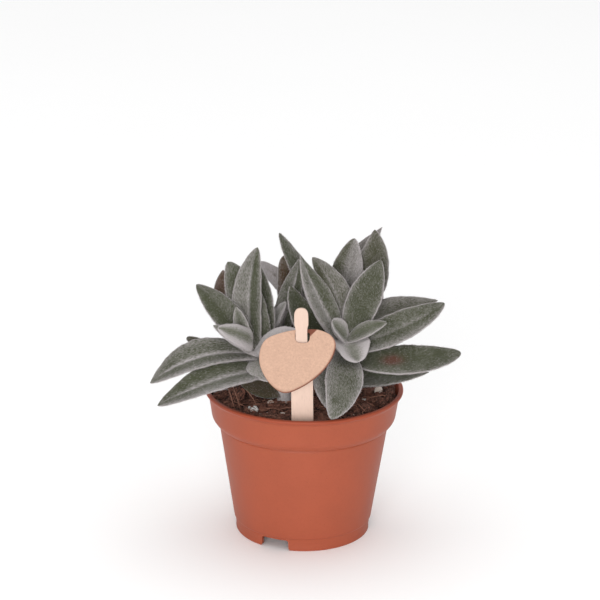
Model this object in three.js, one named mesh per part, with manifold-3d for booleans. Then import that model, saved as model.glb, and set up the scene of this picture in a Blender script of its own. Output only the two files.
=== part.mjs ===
// A fuzzy-leaved jade plant in a round nursery pot, with a label on a wooden stick.
// Millimetres, +Z up. The origin is on the pot's axis, at the surface the pot stands on.
// The viewer's side is -Y. Every shoot is one grown piece: a stem with boat-shaped leaves.

import * as THREE from 'three';
import { mergeVertices } from 'three/addons/utils/BufferGeometryUtils.js';
import Module from 'manifold-3d';

const wasm = await Module();
wasm.setup();

const GAP = 0.3; // clearance between pieces that rest against each other

// Pot: outer radii and heights, from the rim down to the foot
const POT_HEIGHT = 68;
const RIM_RADIUS = 45;
const RIM_THICK = 2.4;
const RIM_ROUND = 0.5;
const RIM_BAND = 1.6; // depth of the rim's upright outer edge
const RIM_DEPTH = 3; // down to where the rim has run into the collar
const WALL = 1.2;
const COLLAR_TOP_RADIUS = 43.9;
const COLLAR_LOW_RADIUS = 42.6;
const COLLAR_LOW_Z = 57.5;
const COLLAR_ROUND = 1.2; // at the collar's lower edge
const STEP_RADIUS = 38.5; // where the slope under the collar meets the tapering wall
const STEP_Z = 51.2;
const FOOT_RADIUS = 31.4;
const FOOT_Z = 6;
const BASE_RADIUS = 30.6;
const BASE_UNDERSIDE = 5.4;
const BASE_THICK = 1.3;
const BASE_TOP = BASE_UNDERSIDE + BASE_THICK;
const FOOT_WALL = 1.8;
const FOOT_EDGE_Z = 2.5; // the foot ring is upright below this
const POT_SIDES = 42;
const NOTCH = { count: 3, wide: 13, high: 5, deep: 14, corner: 1.4, firstTurn: -114 };
const DRAIN = { count: 6, radius: 2.5, ring: 18, middleRadius: 4 };
const HOLE_SIDES = 14;

// Soil
const SOIL_GAP = 0.4; // to the pot, whose wall has flat sides
const SOIL_EDGE_Z = 63;
const SOIL_MIDDLE_Z = 65.2;
const SOIL_LUMP = 0.9;
const SOIL_RINGS = 6;
const SOIL_SIDES = 30;

// Stems stand upright in plain holes up to STEM_FREE_Z, then lean out to the top of the shoot
const STEM_FOOT_Z = 46;
const STEM_FREE_Z = 66.5;
const STEM_HOLE_RADIUS = 3.7;
const STEM_FOOT_RADIUS = 3.3;
const STEM_TOP_RADIUS = 2.5;
const STEM_SIDES = 10;
const STEM_STEPS = 9;

// Label stick: heights are measured along it from the height of the pot's rim
const STICK = {
  thick: 1.3,
  leanBack: 2,
  leanLeft: 1.3,
  x: -0.6,
  y: -34.2,
  foot: -20,
  footCorner: 2,
  halfWide: 4.8,
  shoulderLow: 26.5,
  shoulderHigh: 30,
  neckHalf: 2.55,
  neckTop: 38.9,
  headHalf: 3.1,
  headWidest: 43.4,
  headCurve: 1.6,
  top: 49,
};

// Label tag: its outline in its own plane, from the middle of the slot for the stick
const TAG = {
  thick: 0.8,
  leanBack: 33,
  height: 34.3, // of the slot's middle along the stick
  outline: [
    [2, 4.2], [8, 3.6], [13, 1.2], [15.2, -2.4], [13.4, -8.4], [8.6, -15.2], [0, -21.6],
    [-7.8, -24.1], [-13.4, -20.4], [-18, -12], [-18, -5], [-15.6, -0.4], [-8, 2.8],
  ],
  outlineSteps: 40,
  slotLeft: -2.85,
  slotRight: 3.6,
  slotLow: -2.6,
  slotHigh: 2.6,
  slotCorner: 0.6,
};

// Leaves. tip: where it ends. at: how far up the free stem it grows, from 0 to 1.
// wide: full width. thick: at the middle. arch: how far its middle is raised on the upper face.
// sway: how far its middle is pushed sideways. roll: turn about its length, in degrees.
// fold: how much the margins rise, as a share of the half width.
const LEAF_DEFAULTS = { wide: 13, thick: 3.5, arch: 0, sway: 0, roll: 0, fold: 0.4 };
const LEAF_STATIONS = [0, 0.12, 0.26, 0.42, 0.57, 0.71, 0.84, 0.94, 1];
const LEAF_SIDES = 8;
const LEAF_WIDEST = 0.5; // share of the length
const LEAF_BASE_SHARE = 0.36; // width at the stem, as a share of the full width
const LEAF_SWELL = 1.1; // higher: slimmer below the widest place
const LEAF_TAPER = 0.86; // higher: slimmer above it
const LEAF_BELLY = 0.38; // how much thicker the middle is than the base, as a share
const LEAF_TIP_SHARE = 0.25; // of the length, over which the thickness closes
const LEAF_CHANNEL = 1.4; // higher: flatter middle, steeper margins
const LEAF_MIN_HALF = 0.4;

// Shoots. foot: where the stem stands. way: what the stem bends towards. top: its upper end.
// faces: the way the rosette looks, which the leaves' upper faces turn to.
const SHOOTS = {
  shoot_left: {
    foot: [-9, -9], way: [-9, -9, 80], top: [-25, -15, 90], faces: [-0.3, -0.5, 0.8],
    leaves: [
      { tip: [-68, -20, 76], at: 0.84, wide: 14.5, arch: 7, fold: 0.45 },
      { tip: [-64, -36, 71], at: 0.45, wide: 15.5, arch: 6, sway: -5, fold: 0.45 },
      { tip: [-48.5, -4, 117], at: 0.86, wide: 12, arch: 1, fold: 0.3 },
      { tip: [-37, 16, 117.5], at: 0.7, wide: 14, arch: 2, sway: -5 },
      { tip: [-35, 8, 124], at: 0.76, wide: 15, arch: 2, sway: 2 },
      { tip: [-21, 2, 132.5], at: 0.85, sway: -3.5, fold: 0.5 },
      { tip: [-22.5, 12, 123], at: 0.7, sway: -1 },
      { tip: [-37, -28, 105], at: 1, wide: 10, thick: 7, arch: 1, sway: 1, roll: 45, fold: 0.2 },
      { tip: [-40.5, -16, 102], at: 0.93, wide: 7, thick: 3, arch: -1 },
      { tip: [-30.5, -14, 110], at: 1, wide: 5, thick: 2.6, arch: -1 },
      { tip: [-9, -32, 79], at: 0.82, wide: 14, arch: 1, sway: 3 },
      { tip: [-5.5, -24, 103], at: 0.9, wide: 12, thick: 4, arch: 2, fold: 0.3 },
      { tip: [-53, 4, 88.5], at: 0.66, arch: 4 },
      { tip: [-49, 27, 76], at: 0.4, arch: 4 },
    ],
  },
  shoot_middle: {
    foot: [-5, 12], way: [-7, 10, 75], top: [-14, 6, 89], faces: [0, -0.4, 0.9],
    leaves: [
      { tip: [-10, 20, 124], at: 0.75, arch: -2, sway: 1 },
      { tip: [-2.5, 6, 126.5], at: 0.9, wide: 11, sway: 0.5, fold: 0.5 },
      { tip: [-8.5, -2, 108.5], at: 1, wide: 7, thick: 3, fold: 0.5 },
      { tip: [-1, -17, 88], at: 0.6, arch: 2 },
      { tip: [-28, 44, 96], at: 0.6, arch: 3 },
      { tip: [-10, 50, 82], at: 0.35, arch: 4 },
      { tip: [-30, 22, 104], at: 0.95, wide: 7, thick: 3, arch: -1 },
      { tip: [-11, 16, 104], at: 1, wide: 7, thick: 3, arch: -1 },
    ],
  },
  shoot_right: {
    foot: [14, -8], way: [13, -6, 82], top: [19, -14, 95], faces: [0.15, -0.6, 0.8],
    leaves: [
      { tip: [-2.5, -4, 131.5], at: 0.88, wide: 11.5, arch: 1, sway: -2, fold: 0.45 },
      { tip: [3, 2, 128.5], at: 0.8, wide: 13.5, arch: 2, sway: 3, fold: 0.45 },
      { tip: [33.5, 2, 127.5], at: 0.95, wide: 14.5, fold: 0.3 },
      { tip: [61.5, -14, 113], at: 0.82, sway: 3, fold: 0.35 },
      { tip: [68.5, -29, 95.5], at: 0.7, sway: 4, fold: 0.3 },
      { tip: [12.5, -50, 71], at: 0.75, wide: 16, arch: 4, sway: -1.5, fold: 0.35 },
      { tip: [11.5, -37, 70.5], at: 0.45, wide: 14, arch: 4, sway: 4, fold: 0.35 },
      { tip: [20.5, -28, 90.5], at: 0.98, wide: 14, thick: 4.6, arch: -3, fold: 0.5 },
      { tip: [12, -20, 105.5], at: 0.98, wide: 7.5, thick: 4, arch: -2, fold: 0.5 },
      { tip: [36, -18, 105], at: 0.97, wide: 7.6, thick: 2.6, arch: 1, fold: 0.3 },
      { tip: [-6.5, -4, 117], at: 0.6, wide: 12, thick: 3, sway: -2 },
    ],
  },
  shoot_back: {
    foot: [14, 15], way: [15, 14, 84], top: [17, 12, 100], faces: [0.05, -0.45, 0.9],
    leaves: [
      { tip: [-12.5, 16, 135.5], at: 0.6, wide: 10, arch: -3 },
      { tip: [-21, 30, 117.5], at: 0.5, wide: 11 },
      { tip: [22, 14, 134], at: 0.92, wide: 12, arch: -1, fold: 0.45 },
      { tip: [31, 18, 137], at: 0.86, wide: 17.5, arch: -1, sway: 4.5, fold: 0.3 },
      { tip: [35, 30, 134.5], at: 0.7, wide: 15, arch: -2, sway: -3 },
      { tip: [59.5, 2, 109], at: 0.75, wide: 15, arch: 4, sway: 3, fold: 0.35 },
      { tip: [56, -8, 78.5], at: 0.12, wide: 14, arch: 3, sway: 8, fold: 0.35 },
      { tip: [8, 50, 91], at: 0.4, arch: 3 },
      { tip: [36, 46, 98], at: 0.55, arch: 3 },
      { tip: [46, 30, 86], at: 0.3, arch: 4 },
      { tip: [14, 2, 114], at: 1, wide: 7, arch: -1 },
      { tip: [20, 24, 115], at: 1, wide: 7, arch: -1 },
    ],
  },
};

const COLOURS = {
  pot: [0xb7614a, 0.45],
  soil: [0x483129, 0.95],
  shoot_left: [0x6b705f, 0.9],
  shoot_middle: [0x706c62, 0.9],
  shoot_right: [0x737867, 0.9],
  shoot_back: [0x646b58, 0.9],
  label_stick: [0xf0d3bd, 0.7],
  label_tag: [0xe0b597, 0.8],
};

const degrees = THREE.MathUtils.degToRad;

// A closed geometry as a solid, with its shared corners merged.
function solidOf(geometry) {
  const bare = geometry.clone();
  bare.deleteAttribute('normal');
  bare.deleteAttribute('uv');
  const merged = mergeVertices(bare, 1e-4);
  return new wasm.Manifold(new wasm.Mesh({
    numProp: 3,
    vertProperties: new Float32Array(merged.attributes.position.array),
    triVerts: new Uint32Array(merged.index.array),
  }));
}

function geometryOf(solid) {
  const mesh = solid.getMesh();
  const geometry = new THREE.BufferGeometry();
  geometry.setAttribute('position', new THREE.BufferAttribute(mesh.vertProperties, 3));
  geometry.setIndex(new THREE.BufferAttribute(mesh.triVerts, 1));
  geometry.computeVertexNormals();
  return geometry;
}

// A profile of [radius, height] pairs turned about Z.
function turned(profile, sides) {
  const points = profile.map(([radius, z]) => new THREE.Vector2(radius, z));
  return new THREE.LatheGeometry(points, sides).rotateX(Math.PI / 2);
}

// Rings of points of equal count as a closed skin, with a fan over each end.
function skinOf(rings) {
  const sides = rings[0].length;
  const last = rings.length - 1;
  const middle = (ring) => ring.reduce((sum, p) => sum.add(p), new THREE.Vector3())
    .multiplyScalar(1 / sides);
  const points = [...rings.flat(), middle(rings[0]), middle(rings[last])];
  const startMiddle = points.length - 2;
  const endMiddle = points.length - 1;
  const index = [];
  for (let i = 0; i < last; i += 1) {
    for (let j = 0; j < sides; j += 1) {
      const next = (j + 1) % sides;
      const [a, b] = [i * sides + j, i * sides + next];
      index.push(a, b, b + sides, a, b + sides, a + sides);
    }
  }
  for (let j = 0; j < sides; j += 1) {
    const next = (j + 1) % sides;
    index.push(startMiddle, next, j);
    index.push(endMiddle, last * sides + j, last * sides + next);
  }
  const geometry = new THREE.BufferGeometry().setFromPoints(points);
  geometry.setIndex(index);
  return geometry;
}

function upright(radius, low, high, sides) {
  const geometry = new THREE.CylinderGeometry(radius, radius, high - low, sides);
  return geometry.rotateX(Math.PI / 2).translate(0, 0, (low + high) / 2);
}

// The pot's inner wall as [radius, height] pairs, from the base plate up to the collar.
function innerWall() {
  const share = (STEP_Z - BASE_TOP) / (STEP_Z - FOOT_Z);
  return [
    [THREE.MathUtils.lerp(STEP_RADIUS, FOOT_RADIUS, share) - WALL, BASE_TOP],
    [STEP_RADIUS - WALL, STEP_Z],
    [COLLAR_LOW_RADIUS - WALL, COLLAR_LOW_Z],
  ];
}

// The profile runs from the top of the base plate up the inside and down the outside.
function potSolid() {
  const rimInner = RIM_RADIUS - RIM_THICK;
  return solidOf(turned([
    [0, BASE_TOP],
    ...innerWall(),
    [COLLAR_TOP_RADIUS - WALL, POT_HEIGHT - RIM_DEPTH],
    [rimInner, POT_HEIGHT - RIM_ROUND],
    [rimInner + RIM_ROUND, POT_HEIGHT],
    [RIM_RADIUS - RIM_ROUND, POT_HEIGHT],
    [RIM_RADIUS, POT_HEIGHT - RIM_ROUND],
    [RIM_RADIUS, POT_HEIGHT - RIM_BAND],
    [COLLAR_TOP_RADIUS, POT_HEIGHT - RIM_DEPTH],
    [COLLAR_LOW_RADIUS, COLLAR_LOW_Z],
    [COLLAR_LOW_RADIUS - COLLAR_ROUND / 2, COLLAR_LOW_Z - COLLAR_ROUND],
    [STEP_RADIUS, STEP_Z],
    [FOOT_RADIUS, FOOT_Z],
    [BASE_RADIUS, FOOT_EDGE_Z],
    [BASE_RADIUS, 0],
    [BASE_RADIUS - FOOT_WALL, 0],
    [BASE_RADIUS - FOOT_WALL, BASE_UNDERSIDE],
    [0, BASE_UNDERSIDE],
  ].reverse(), POT_SIDES));
}

function notchCutter(turn) {
  const { wide, high, deep, corner } = NOTCH;
  const half = wide / 2;
  const shape = new THREE.Shape();
  shape.moveTo(-half, -1);
  shape.lineTo(half, -1);
  shape.lineTo(half, high - corner);
  shape.quadraticCurveTo(half, high, half - corner, high);
  shape.lineTo(corner - half, high);
  shape.quadraticCurveTo(-half, high, -half, high - corner);
  const options = { depth: deep, bevelEnabled: false, curveSegments: 3 };
  return new THREE.ExtrudeGeometry(shape, options)
    .rotateX(Math.PI / 2)
    .rotateZ(Math.PI / 2)
    .translate(BASE_RADIUS - deep / 2, 0, 0)
    .rotateZ(degrees(turn));
}

function drainCutters() {
  const [low, high] = [BASE_UNDERSIDE - 1, BASE_TOP + 1];
  const holes = [upright(DRAIN.middleRadius, low, high, HOLE_SIDES)];
  for (let i = 0; i < DRAIN.count; i += 1) {
    const turn = (i / DRAIN.count) * 2 * Math.PI;
    holes.push(upright(DRAIN.radius, low, high, HOLE_SIDES)
      .translate(DRAIN.ring * Math.cos(turn), DRAIN.ring * Math.sin(turn), 0));
  }
  return holes;
}

function makePot() {
  let pot = potSolid();
  for (let i = 0; i < NOTCH.count; i += 1) {
    pot = pot.subtract(solidOf(notchCutter(NOTCH.firstTurn + (i * 360) / NOTCH.count)));
  }
  drainCutters().forEach((hole) => { pot = pot.subtract(solidOf(hole)); });
  return geometryOf(pot);
}

// Low lumps of peat: a few crossed waves of different length.
function lump(x, y) {
  return SOIL_LUMP * (0.5 * Math.sin(x * 0.61 + y * 0.23) * Math.cos(y * 0.53 - x * 0.17)
    + 0.35 * Math.sin(x * 1.13 - y * 0.71 + 1.3)
    + 0.3 * Math.cos(y * 1.27 + x * 0.37));
}

function makeSoil() {
  const ringAt = (radius, height) => Array.from({ length: SOIL_SIDES }, (_, j) => {
    const turn = (j / SOIL_SIDES) * 2 * Math.PI;
    const [x, y] = [radius * Math.cos(turn), radius * Math.sin(turn)];
    return new THREE.Vector3(x, y, height(x, y));
  });
  const rings = innerWall().map(([radius, z]) => ringAt(radius - SOIL_GAP, () => z + GAP));
  const edgeRadius = COLLAR_LOW_RADIUS - WALL - SOIL_GAP;
  for (let i = SOIL_RINGS; i > 0; i -= 1) {
    const share = i / SOIL_RINGS;
    const z = THREE.MathUtils.lerp(SOIL_MIDDLE_Z, SOIL_EDGE_Z, share ** 3);
    rings.push(ringAt(edgeRadius * share, (x, y) => z + lump(x, y)));
  }
  rings.push(ringAt(1, () => SOIL_MIDDLE_Z));
  let soil = solidOf(skinOf(rings));
  Object.values(SHOOTS).forEach(({ foot }) => {
    const hole = upright(STEM_HOLE_RADIUS, STEM_FOOT_Z - GAP, POT_HEIGHT, HOLE_SIDES);
    soil = soil.subtract(solidOf(hole.translate(foot[0], foot[1], 0)));
  });
  return geometryOf(soil.subtract(solidOf(stickGeometry(GAP))));
}

// The free stem is a quadratic curve from where it leaves the soil to the top of the shoot.
function stemCurve({ foot, way, top }) {
  return new THREE.QuadraticBezierCurve3(
    new THREE.Vector3(foot[0], foot[1], STEM_FREE_Z),
    new THREE.Vector3(...way),
    new THREE.Vector3(...top),
  );
}

function stemSkin(shoot) {
  const curve = stemCurve(shoot);
  const ringAt = (centre, radius) => Array.from({ length: STEM_SIDES }, (_, j) => {
    const turn = (j / STEM_SIDES) * 2 * Math.PI;
    return new THREE.Vector3(radius * Math.cos(turn), radius * Math.sin(turn), 0).add(centre);
  });
  const foot = new THREE.Vector3(shoot.foot[0], shoot.foot[1], STEM_FOOT_Z);
  const rings = [ringAt(foot, STEM_FOOT_RADIUS)];
  for (let i = 0; i <= STEM_STEPS; i += 1) {
    const share = i / STEM_STEPS;
    rings.push(ringAt(curve.getPoint(share),
      THREE.MathUtils.lerp(STEM_FOOT_RADIUS, STEM_TOP_RADIUS, share)));
  }
  return skinOf(rings);
}

// Half width along the leaf: swells from the base to LEAF_WIDEST, then closes to a point.
function leafHalfWidth(share) {
  if (share < LEAF_WIDEST) {
    const swell = Math.sin((Math.PI / 2) * (share / LEAF_WIDEST)) ** LEAF_SWELL;
    return THREE.MathUtils.lerp(LEAF_BASE_SHARE, 1, swell) / 2;
  }
  const closing = (share - LEAF_WIDEST) / (1 - LEAF_WIDEST);
  return (Math.max(0, Math.cos((Math.PI / 2) * closing)) ** LEAF_TAPER) / 2;
}

function leafHalfThickness(share) {
  const belly = 1 - LEAF_BELLY + LEAF_BELLY * Math.sin(Math.PI * Math.min(1, share * 1.3));
  return (belly * Math.min(1, (1 - share) / LEAF_TIP_SHARE) ** 0.55) / 2;
}

// How much of the fold a station has: little at the clasping base, full from the middle on.
function leafFold(share) {
  return Math.sin(Math.PI * (0.12 + 0.88 * share)) ** 0.6;
}

// A leaf runs along a quadratic curve from the stem's middle line to its tip. Its section is an
// ellipse bent up at both margins, so the upper face is a channel and the lower face a keel.
function leafSkin(shoot, row) {
  const leaf = { ...LEAF_DEFAULTS, ...row };
  const base = stemCurve(shoot).getPoint(leaf.at);
  const tip = new THREE.Vector3(...leaf.tip);
  const along = tip.clone().sub(base).normalize();
  const face = new THREE.Vector3(...shoot.faces).projectOnPlane(along).normalize();
  face.applyAxisAngle(along, degrees(leaf.roll));
  const side = along.clone().cross(face);
  const way = base.clone().add(tip).multiplyScalar(0.5)
    .addScaledVector(face, 2 * leaf.arch).addScaledVector(side, 2 * leaf.sway);
  const curve = new THREE.QuadraticBezierCurve3(base, way, tip);
  const rings = LEAF_STATIONS.map((share) => {
    const tangent = curve.getTangent(share);
    const up = face.clone().projectOnPlane(tangent).normalize();
    const across = up.clone().cross(tangent);
    const halfWide = Math.max(LEAF_MIN_HALF, leaf.wide * leafHalfWidth(share));
    const halfThick = Math.max(LEAF_MIN_HALF, leaf.thick * leafHalfThickness(share));
    const rise = leaf.fold * halfWide * leafFold(share);
    return Array.from({ length: LEAF_SIDES }, (_, j) => {
      const turn = (j / LEAF_SIDES) * 2 * Math.PI;
      const out = Math.cos(turn);
      return curve.getPoint(share)
        .addScaledVector(across, halfWide * out)
        .addScaledVector(up, rise * Math.abs(out) ** LEAF_CHANNEL + halfThick * Math.sin(turn));
    });
  });
  return skinOf(rings);
}

function makeShoot(shoot) {
  let solid = solidOf(stemSkin(shoot));
  shoot.leaves.forEach((row) => { solid = solid.add(solidOf(leafSkin(shoot, row))); });
  return geometryOf(solid);
}

// Places a shape drawn upright in X and Y (Y up), thickness along Z to the viewer, on the stick.
function onStick(geometry) {
  return geometry.rotateX(Math.PI / 2)
    .rotateY(-degrees(STICK.leanLeft))
    .rotateX(-degrees(STICK.leanBack))
    .translate(STICK.x, STICK.y, POT_HEIGHT);
}

// The stick's outline, with its foot and sides moved out by extra.
function stickShape(extra) {
  const { shoulderLow, shoulderHigh, neckHalf, neckTop } = STICK;
  const { headHalf, headWidest, headCurve, footCorner, top } = STICK;
  const half = STICK.halfWide + extra;
  const foot = STICK.foot - extra;
  const shape = new THREE.Shape();
  shape.moveTo(-half, foot + footCorner);
  shape.quadraticCurveTo(-half, foot, footCorner - half, foot);
  shape.lineTo(half - footCorner, foot);
  shape.quadraticCurveTo(half, foot, half, foot + footCorner);
  shape.lineTo(half, shoulderLow);
  shape.quadraticCurveTo(half, shoulderHigh, neckHalf, shoulderHigh);
  shape.lineTo(neckHalf, neckTop);
  shape.bezierCurveTo(
    neckHalf, neckTop + headCurve, headHalf, headWidest - headCurve, headHalf, headWidest);
  shape.bezierCurveTo(headHalf, top - headCurve, headHalf / 2, top, 0, top);
  shape.bezierCurveTo(-headHalf / 2, top, -headHalf, top - headCurve, -headHalf, headWidest);
  shape.bezierCurveTo(
    -headHalf, headWidest - headCurve, -neckHalf, neckTop + headCurve, -neckHalf, neckTop);
  shape.lineTo(-neckHalf, shoulderHigh);
  shape.quadraticCurveTo(-half, shoulderHigh, -half, shoulderLow);
  return shape;
}

// With extra 0 this is the stick. The slot in the soil is the same shape, wider by GAP.
function stickGeometry(extra) {
  const depth = STICK.thick + 2 * extra;
  const options = { depth, bevelEnabled: false, curveSegments: 6 };
  return onStick(new THREE.ExtrudeGeometry(stickShape(extra), options).translate(0, 0, -depth / 2));
}

function makeTag() {
  const { outline, outlineSteps, thick } = TAG;
  const { slotLeft, slotRight, slotLow, slotHigh, slotCorner } = TAG;
  const loop = new THREE.CatmullRomCurve3(
    outline.map(([x, y]) => new THREE.Vector3(x, y, 0)), true, 'centripetal');
  const shape = new THREE.Shape(loop.getSpacedPoints(outlineSteps).slice(0, -1)
    .map(({ x, y }) => new THREE.Vector2(x, y)));
  const slot = new THREE.Path();
  slot.moveTo(slotLeft, slotHigh);
  slot.lineTo(slotLeft, slotLow + slotCorner);
  slot.quadraticCurveTo(slotLeft, slotLow, slotLeft + slotCorner, slotLow);
  slot.lineTo(slotRight - slotCorner, slotLow);
  slot.quadraticCurveTo(slotRight, slotLow, slotRight, slotLow + slotCorner);
  slot.lineTo(slotRight, slotHigh);
  shape.holes.push(slot);
  const options = { depth: thick, bevelEnabled: false, curveSegments: 4 };
  const geometry = new THREE.ExtrudeGeometry(shape, options)
    .translate(0, 0, -thick / 2)
    .rotateX(-degrees(TAG.leanBack - STICK.leanBack))
    .translate(0, TAG.height, 0);
  return geometryOf(solidOf(onStick(geometry)));
}

const makers = {
  pot: makePot,
  soil: makeSoil,
  label_stick: () => geometryOf(solidOf(stickGeometry(0))),
  label_tag: makeTag,
};
Object.entries(SHOOTS).forEach(([name, shoot]) => { makers[name] = () => makeShoot(shoot); });

const plant = new THREE.Group();
Object.entries(makers).forEach(([name, make]) => {
  const [color, roughness] = COLOURS[name];
  const material = new THREE.MeshStandardMaterial({ color, roughness, metalness: 0 });
  const mesh = new THREE.Mesh(make(), material);
  mesh.name = name;
  plant.add(mesh);
});

export default plant;
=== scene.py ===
"""Looks of a felted jade plant in a round nursery pot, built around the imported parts.

Metres, +Z up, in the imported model's frame. Shapes are worked out in millimetres and put into the
meshes in metres. Leaves, stems, pot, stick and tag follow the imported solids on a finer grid;
hairs, peat crumbs, root fibres and grit are added to them.
"""

import math
from functools import partial

import bpy
import numpy as np
from bpy.props import FloatProperty, FloatVectorProperty, IntProperty, PointerProperty
from mathutils import Matrix, Vector


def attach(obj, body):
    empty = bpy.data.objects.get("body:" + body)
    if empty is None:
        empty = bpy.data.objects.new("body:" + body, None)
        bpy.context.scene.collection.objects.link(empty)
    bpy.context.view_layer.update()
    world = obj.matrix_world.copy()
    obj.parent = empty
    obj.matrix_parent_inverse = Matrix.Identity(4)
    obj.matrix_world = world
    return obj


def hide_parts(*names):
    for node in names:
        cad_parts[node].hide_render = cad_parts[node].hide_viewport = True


bl_info = {
    "name": "Potted felted jade plant",
    "version": (1, 0, 0),
    "blender": (4, 5, 0),
    "location": "View3D > Sidebar > Jade plant",
    "description": "Dresses a felted jade plant, its nursery pot, its soil and its blank label",
    "category": "Object",
}

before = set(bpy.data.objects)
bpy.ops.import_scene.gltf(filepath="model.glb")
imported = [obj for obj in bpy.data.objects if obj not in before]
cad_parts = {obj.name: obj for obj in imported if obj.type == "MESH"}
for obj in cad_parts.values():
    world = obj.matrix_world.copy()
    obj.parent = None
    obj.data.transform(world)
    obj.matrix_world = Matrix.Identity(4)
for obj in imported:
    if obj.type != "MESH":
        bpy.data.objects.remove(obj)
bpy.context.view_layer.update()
BODY = "root"
MM = 0.001
FULL_TURN = 2 * np.pi
# Faces that meet at more than this angle, in degrees, make a sharp edge
SHARP_ANGLE = 35.0

# ---- Measures, in millimetres and degrees

# Pot: radius, height and reach of the rounding at each corner, from the base plate's top up the
# inside, over the rim, down the outside and in under the base
POT_PROFILE = [
    (30.3, 6.7, 0.6), (37.3, 51.2, 0.8), (41.0, 57.5, 1.2), (42.4, 65.0, 0.4), (42.9, 67.6, 0.2),
    (43.3, 68.0, 0.25), (44.5, 68.0, 0.3), (45.0, 67.6, 0.25), (45.0, 66.8, 0.35),
    (43.4, 65.4, 0.9), (42.4, 59.5, 2.0), (41.7, 54.6, 1.3), (39.7, 52.0, 0.5), (38.1, 51.9, 0.15),
    (38.1, 51.4, 0.2), (38.4, 50.9, 0.4), (31.5, 6.2, 0.35), (31.0, 5.8, 0.3), (30.6, 2.5, 0.9),
    (30.6, 0.0, 0.3), (28.8, 0.0, 0.2), (28.8, 5.4, 0.4),
]
ROUNDING_STEPS = 5
BASE_TOP = 6.7
BASE_UNDERSIDE = 5.4
NOTCH = {"count": 3, "wide": 13.0, "high": 5.0, "deep": 14.0, "corner": 1.4, "first": -114.0,
         "at": 30.6, "steps": 6}
DRAIN = {"count": 6, "radius": 2.5, "ring": 18.0, "middle": 4.0, "sides": 32, "spare": 1.0}

# Soil: the side is radius and height up the pot's inside
SOIL_SIDE = [(30.0, 7.0), (36.9, 51.5), (40.6, 57.8), (41.3, 61.0)]
SOIL_RADIUS = 41.9
SOIL_FLAT_RADIUS = 41.0
SOIL_EDGE_Z = 64.6
SOIL_MIDDLE_Z = 64.3
SOIL_DIP = {"x": -0.6, "wide": 6.5, "from": -29.0, "to": -34.0, "deep": 1.9}
SOIL_GRID = {"sides": 320, "rows": 96}
# Waves in the soil: height, length and count
SOIL_WAVES = [(0.35, 6.0, 10), (0.16, 1.7, 14), (0.07, 0.8, 14)]
# How far the ground between the clods lies under the dome, and the share of their height that shows
SOIL_SINK = 1.1
CLOD_SHARE = 0.8
CLOD_REACH = 41.5
# Ranges of the clods' radius, and of their height as a share of it
CLOD_SIZES = [(1.0, 3.6), (0.5, 1.0)]
CLOD_HIGHEST = 2.6
# Large clumps of peat: place and radius
CLUMPS = [
    (-30.0, -10.0, 4.2), (-22.5, -3.5, 3.0), (-13.5, -29.0, 2.4), (-7.5, -33.5, 1.9),
    (27.5, -22.5, 2.4), (34.5, -12.0, 2.2), (24.0, -12.0, 2.2), (38.8, -3.0, 2.4),
    (37.8, -9.0, 2.2), (39.0, 3.4, 2.5), (10.0, 34.0, 3.4), (-24.0, 26.0, 3.2), (31.0, 22.0, 2.8),
]
CLUMP_HIGHEST_Z = 65.0
# Balls for clumps and stones: rows, columns, height and length of the waves
CLUMP_BALL = (30, 44, 0.16, 1.3)
STONE_BALL = (16, 24, 0.17, 1.7)
# How far the middles of crumbs and grains, of clumps and of stones stand over the soil, as shares
# of their size
CRUMB_LIFT = 0.3
CLUMP_LIFT = 0.35
STONE_LIFT = 0.4
# Smallest and largest crumbs, grains of the heaps and scattered grains
CRUMB_SIZES = (0.35, 1.0)
HEAP_SIZES = (0.4, 1.0)
GRAIN_SIZES = (0.2, 0.45)
# Fibres: lift is from the soil to their ends, arch from their ends to their middle
FIBRE = {"steps": 9, "sides": 4, "reach": 37.0, "edge": 40.2, "length": (3.0, 11.0),
         "radius": (0.06, 0.2), "lift": (0.0, 0.6), "arch": (0.1, 1.0), "bend": 1.1,
         "long_radius": 0.2, "long_lift": 1.3, "long_tone": 0.85}
# Long fibres: place of the start, heading, turn, length and rise
LONG_FIBRES = [
    (28.0, -11.6, 8, 18, 11.0, 0.9), (22.5, -16.0, -85, 45, 11.0, 1.6),
    (25.0, -19.5, 10, -30, 7.0, 1.2), (-32.6, -3.0, -105, 40, 22.0, 5.4),
    (-30.0, -2.0, -108, 45, 22.0, 6.0), (-27.0, -4.0, -95, 50, 18.0, 5.6),
    (-20.0, -24.0, 20, -40, 10.0, 1.2), (-12.0, -22.0, -10, 30, 9.0, 1.3),
]
# Heaps of white grains: place, reach and how many
GRAIN_HEAPS = [
    ((-22.3, -22.6), 2.2, 34), ((-17.6, -26.5), 2.4, 6), ((-26.8, -3.0), 0.7, 3),
    ((26.5, -9.5), 1.0, 3),
]
GRAIN_REACH = 40.0
# Stones and chips: place, size, and how many times as wide as deep
STONES = [
    (33.7, 0.9, 1.8, 0.95), (-14.9, -14.5, 1.0, 1.2), (-9.6, -23.5, 0.55, 3.2),
    (22.0, -25.5, 0.7, 1.0), (5.0, 33.0, 1.5, 1.0), (-30.0, 16.0, 1.2, 1.1),
]

# Label stick: curves of (half width, height above the rim)
STICK = {"thick": 1.3, "x": -0.6, "y": -34.2, "z": 68.0, "lean_back": 2.0, "lean_left": 1.3,
         "bevel": 0.18, "curve_steps": 15, "corner_steps": 4}
STICK_CURVES = [
    [(2.8, -20.0), (4.8, -20.0), (4.8, -18.0)],
    [(4.8, -18.0), (4.8, 4.0), (4.8, 26.5)],
    [(4.8, 26.5), (4.8, 30.0), (2.55, 30.0)],
    [(2.55, 30.0), (2.55, 34.0), (2.55, 38.2)],
    [(2.55, 38.2), (2.65, 39.6), (3.05, 40.4)],
    [(3.05, 40.4), (3.12, 42.6), (3.05, 44.6)],
    [(3.05, 44.6), (3.0, 48.1), (0.1, 48.1)],
]

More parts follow.
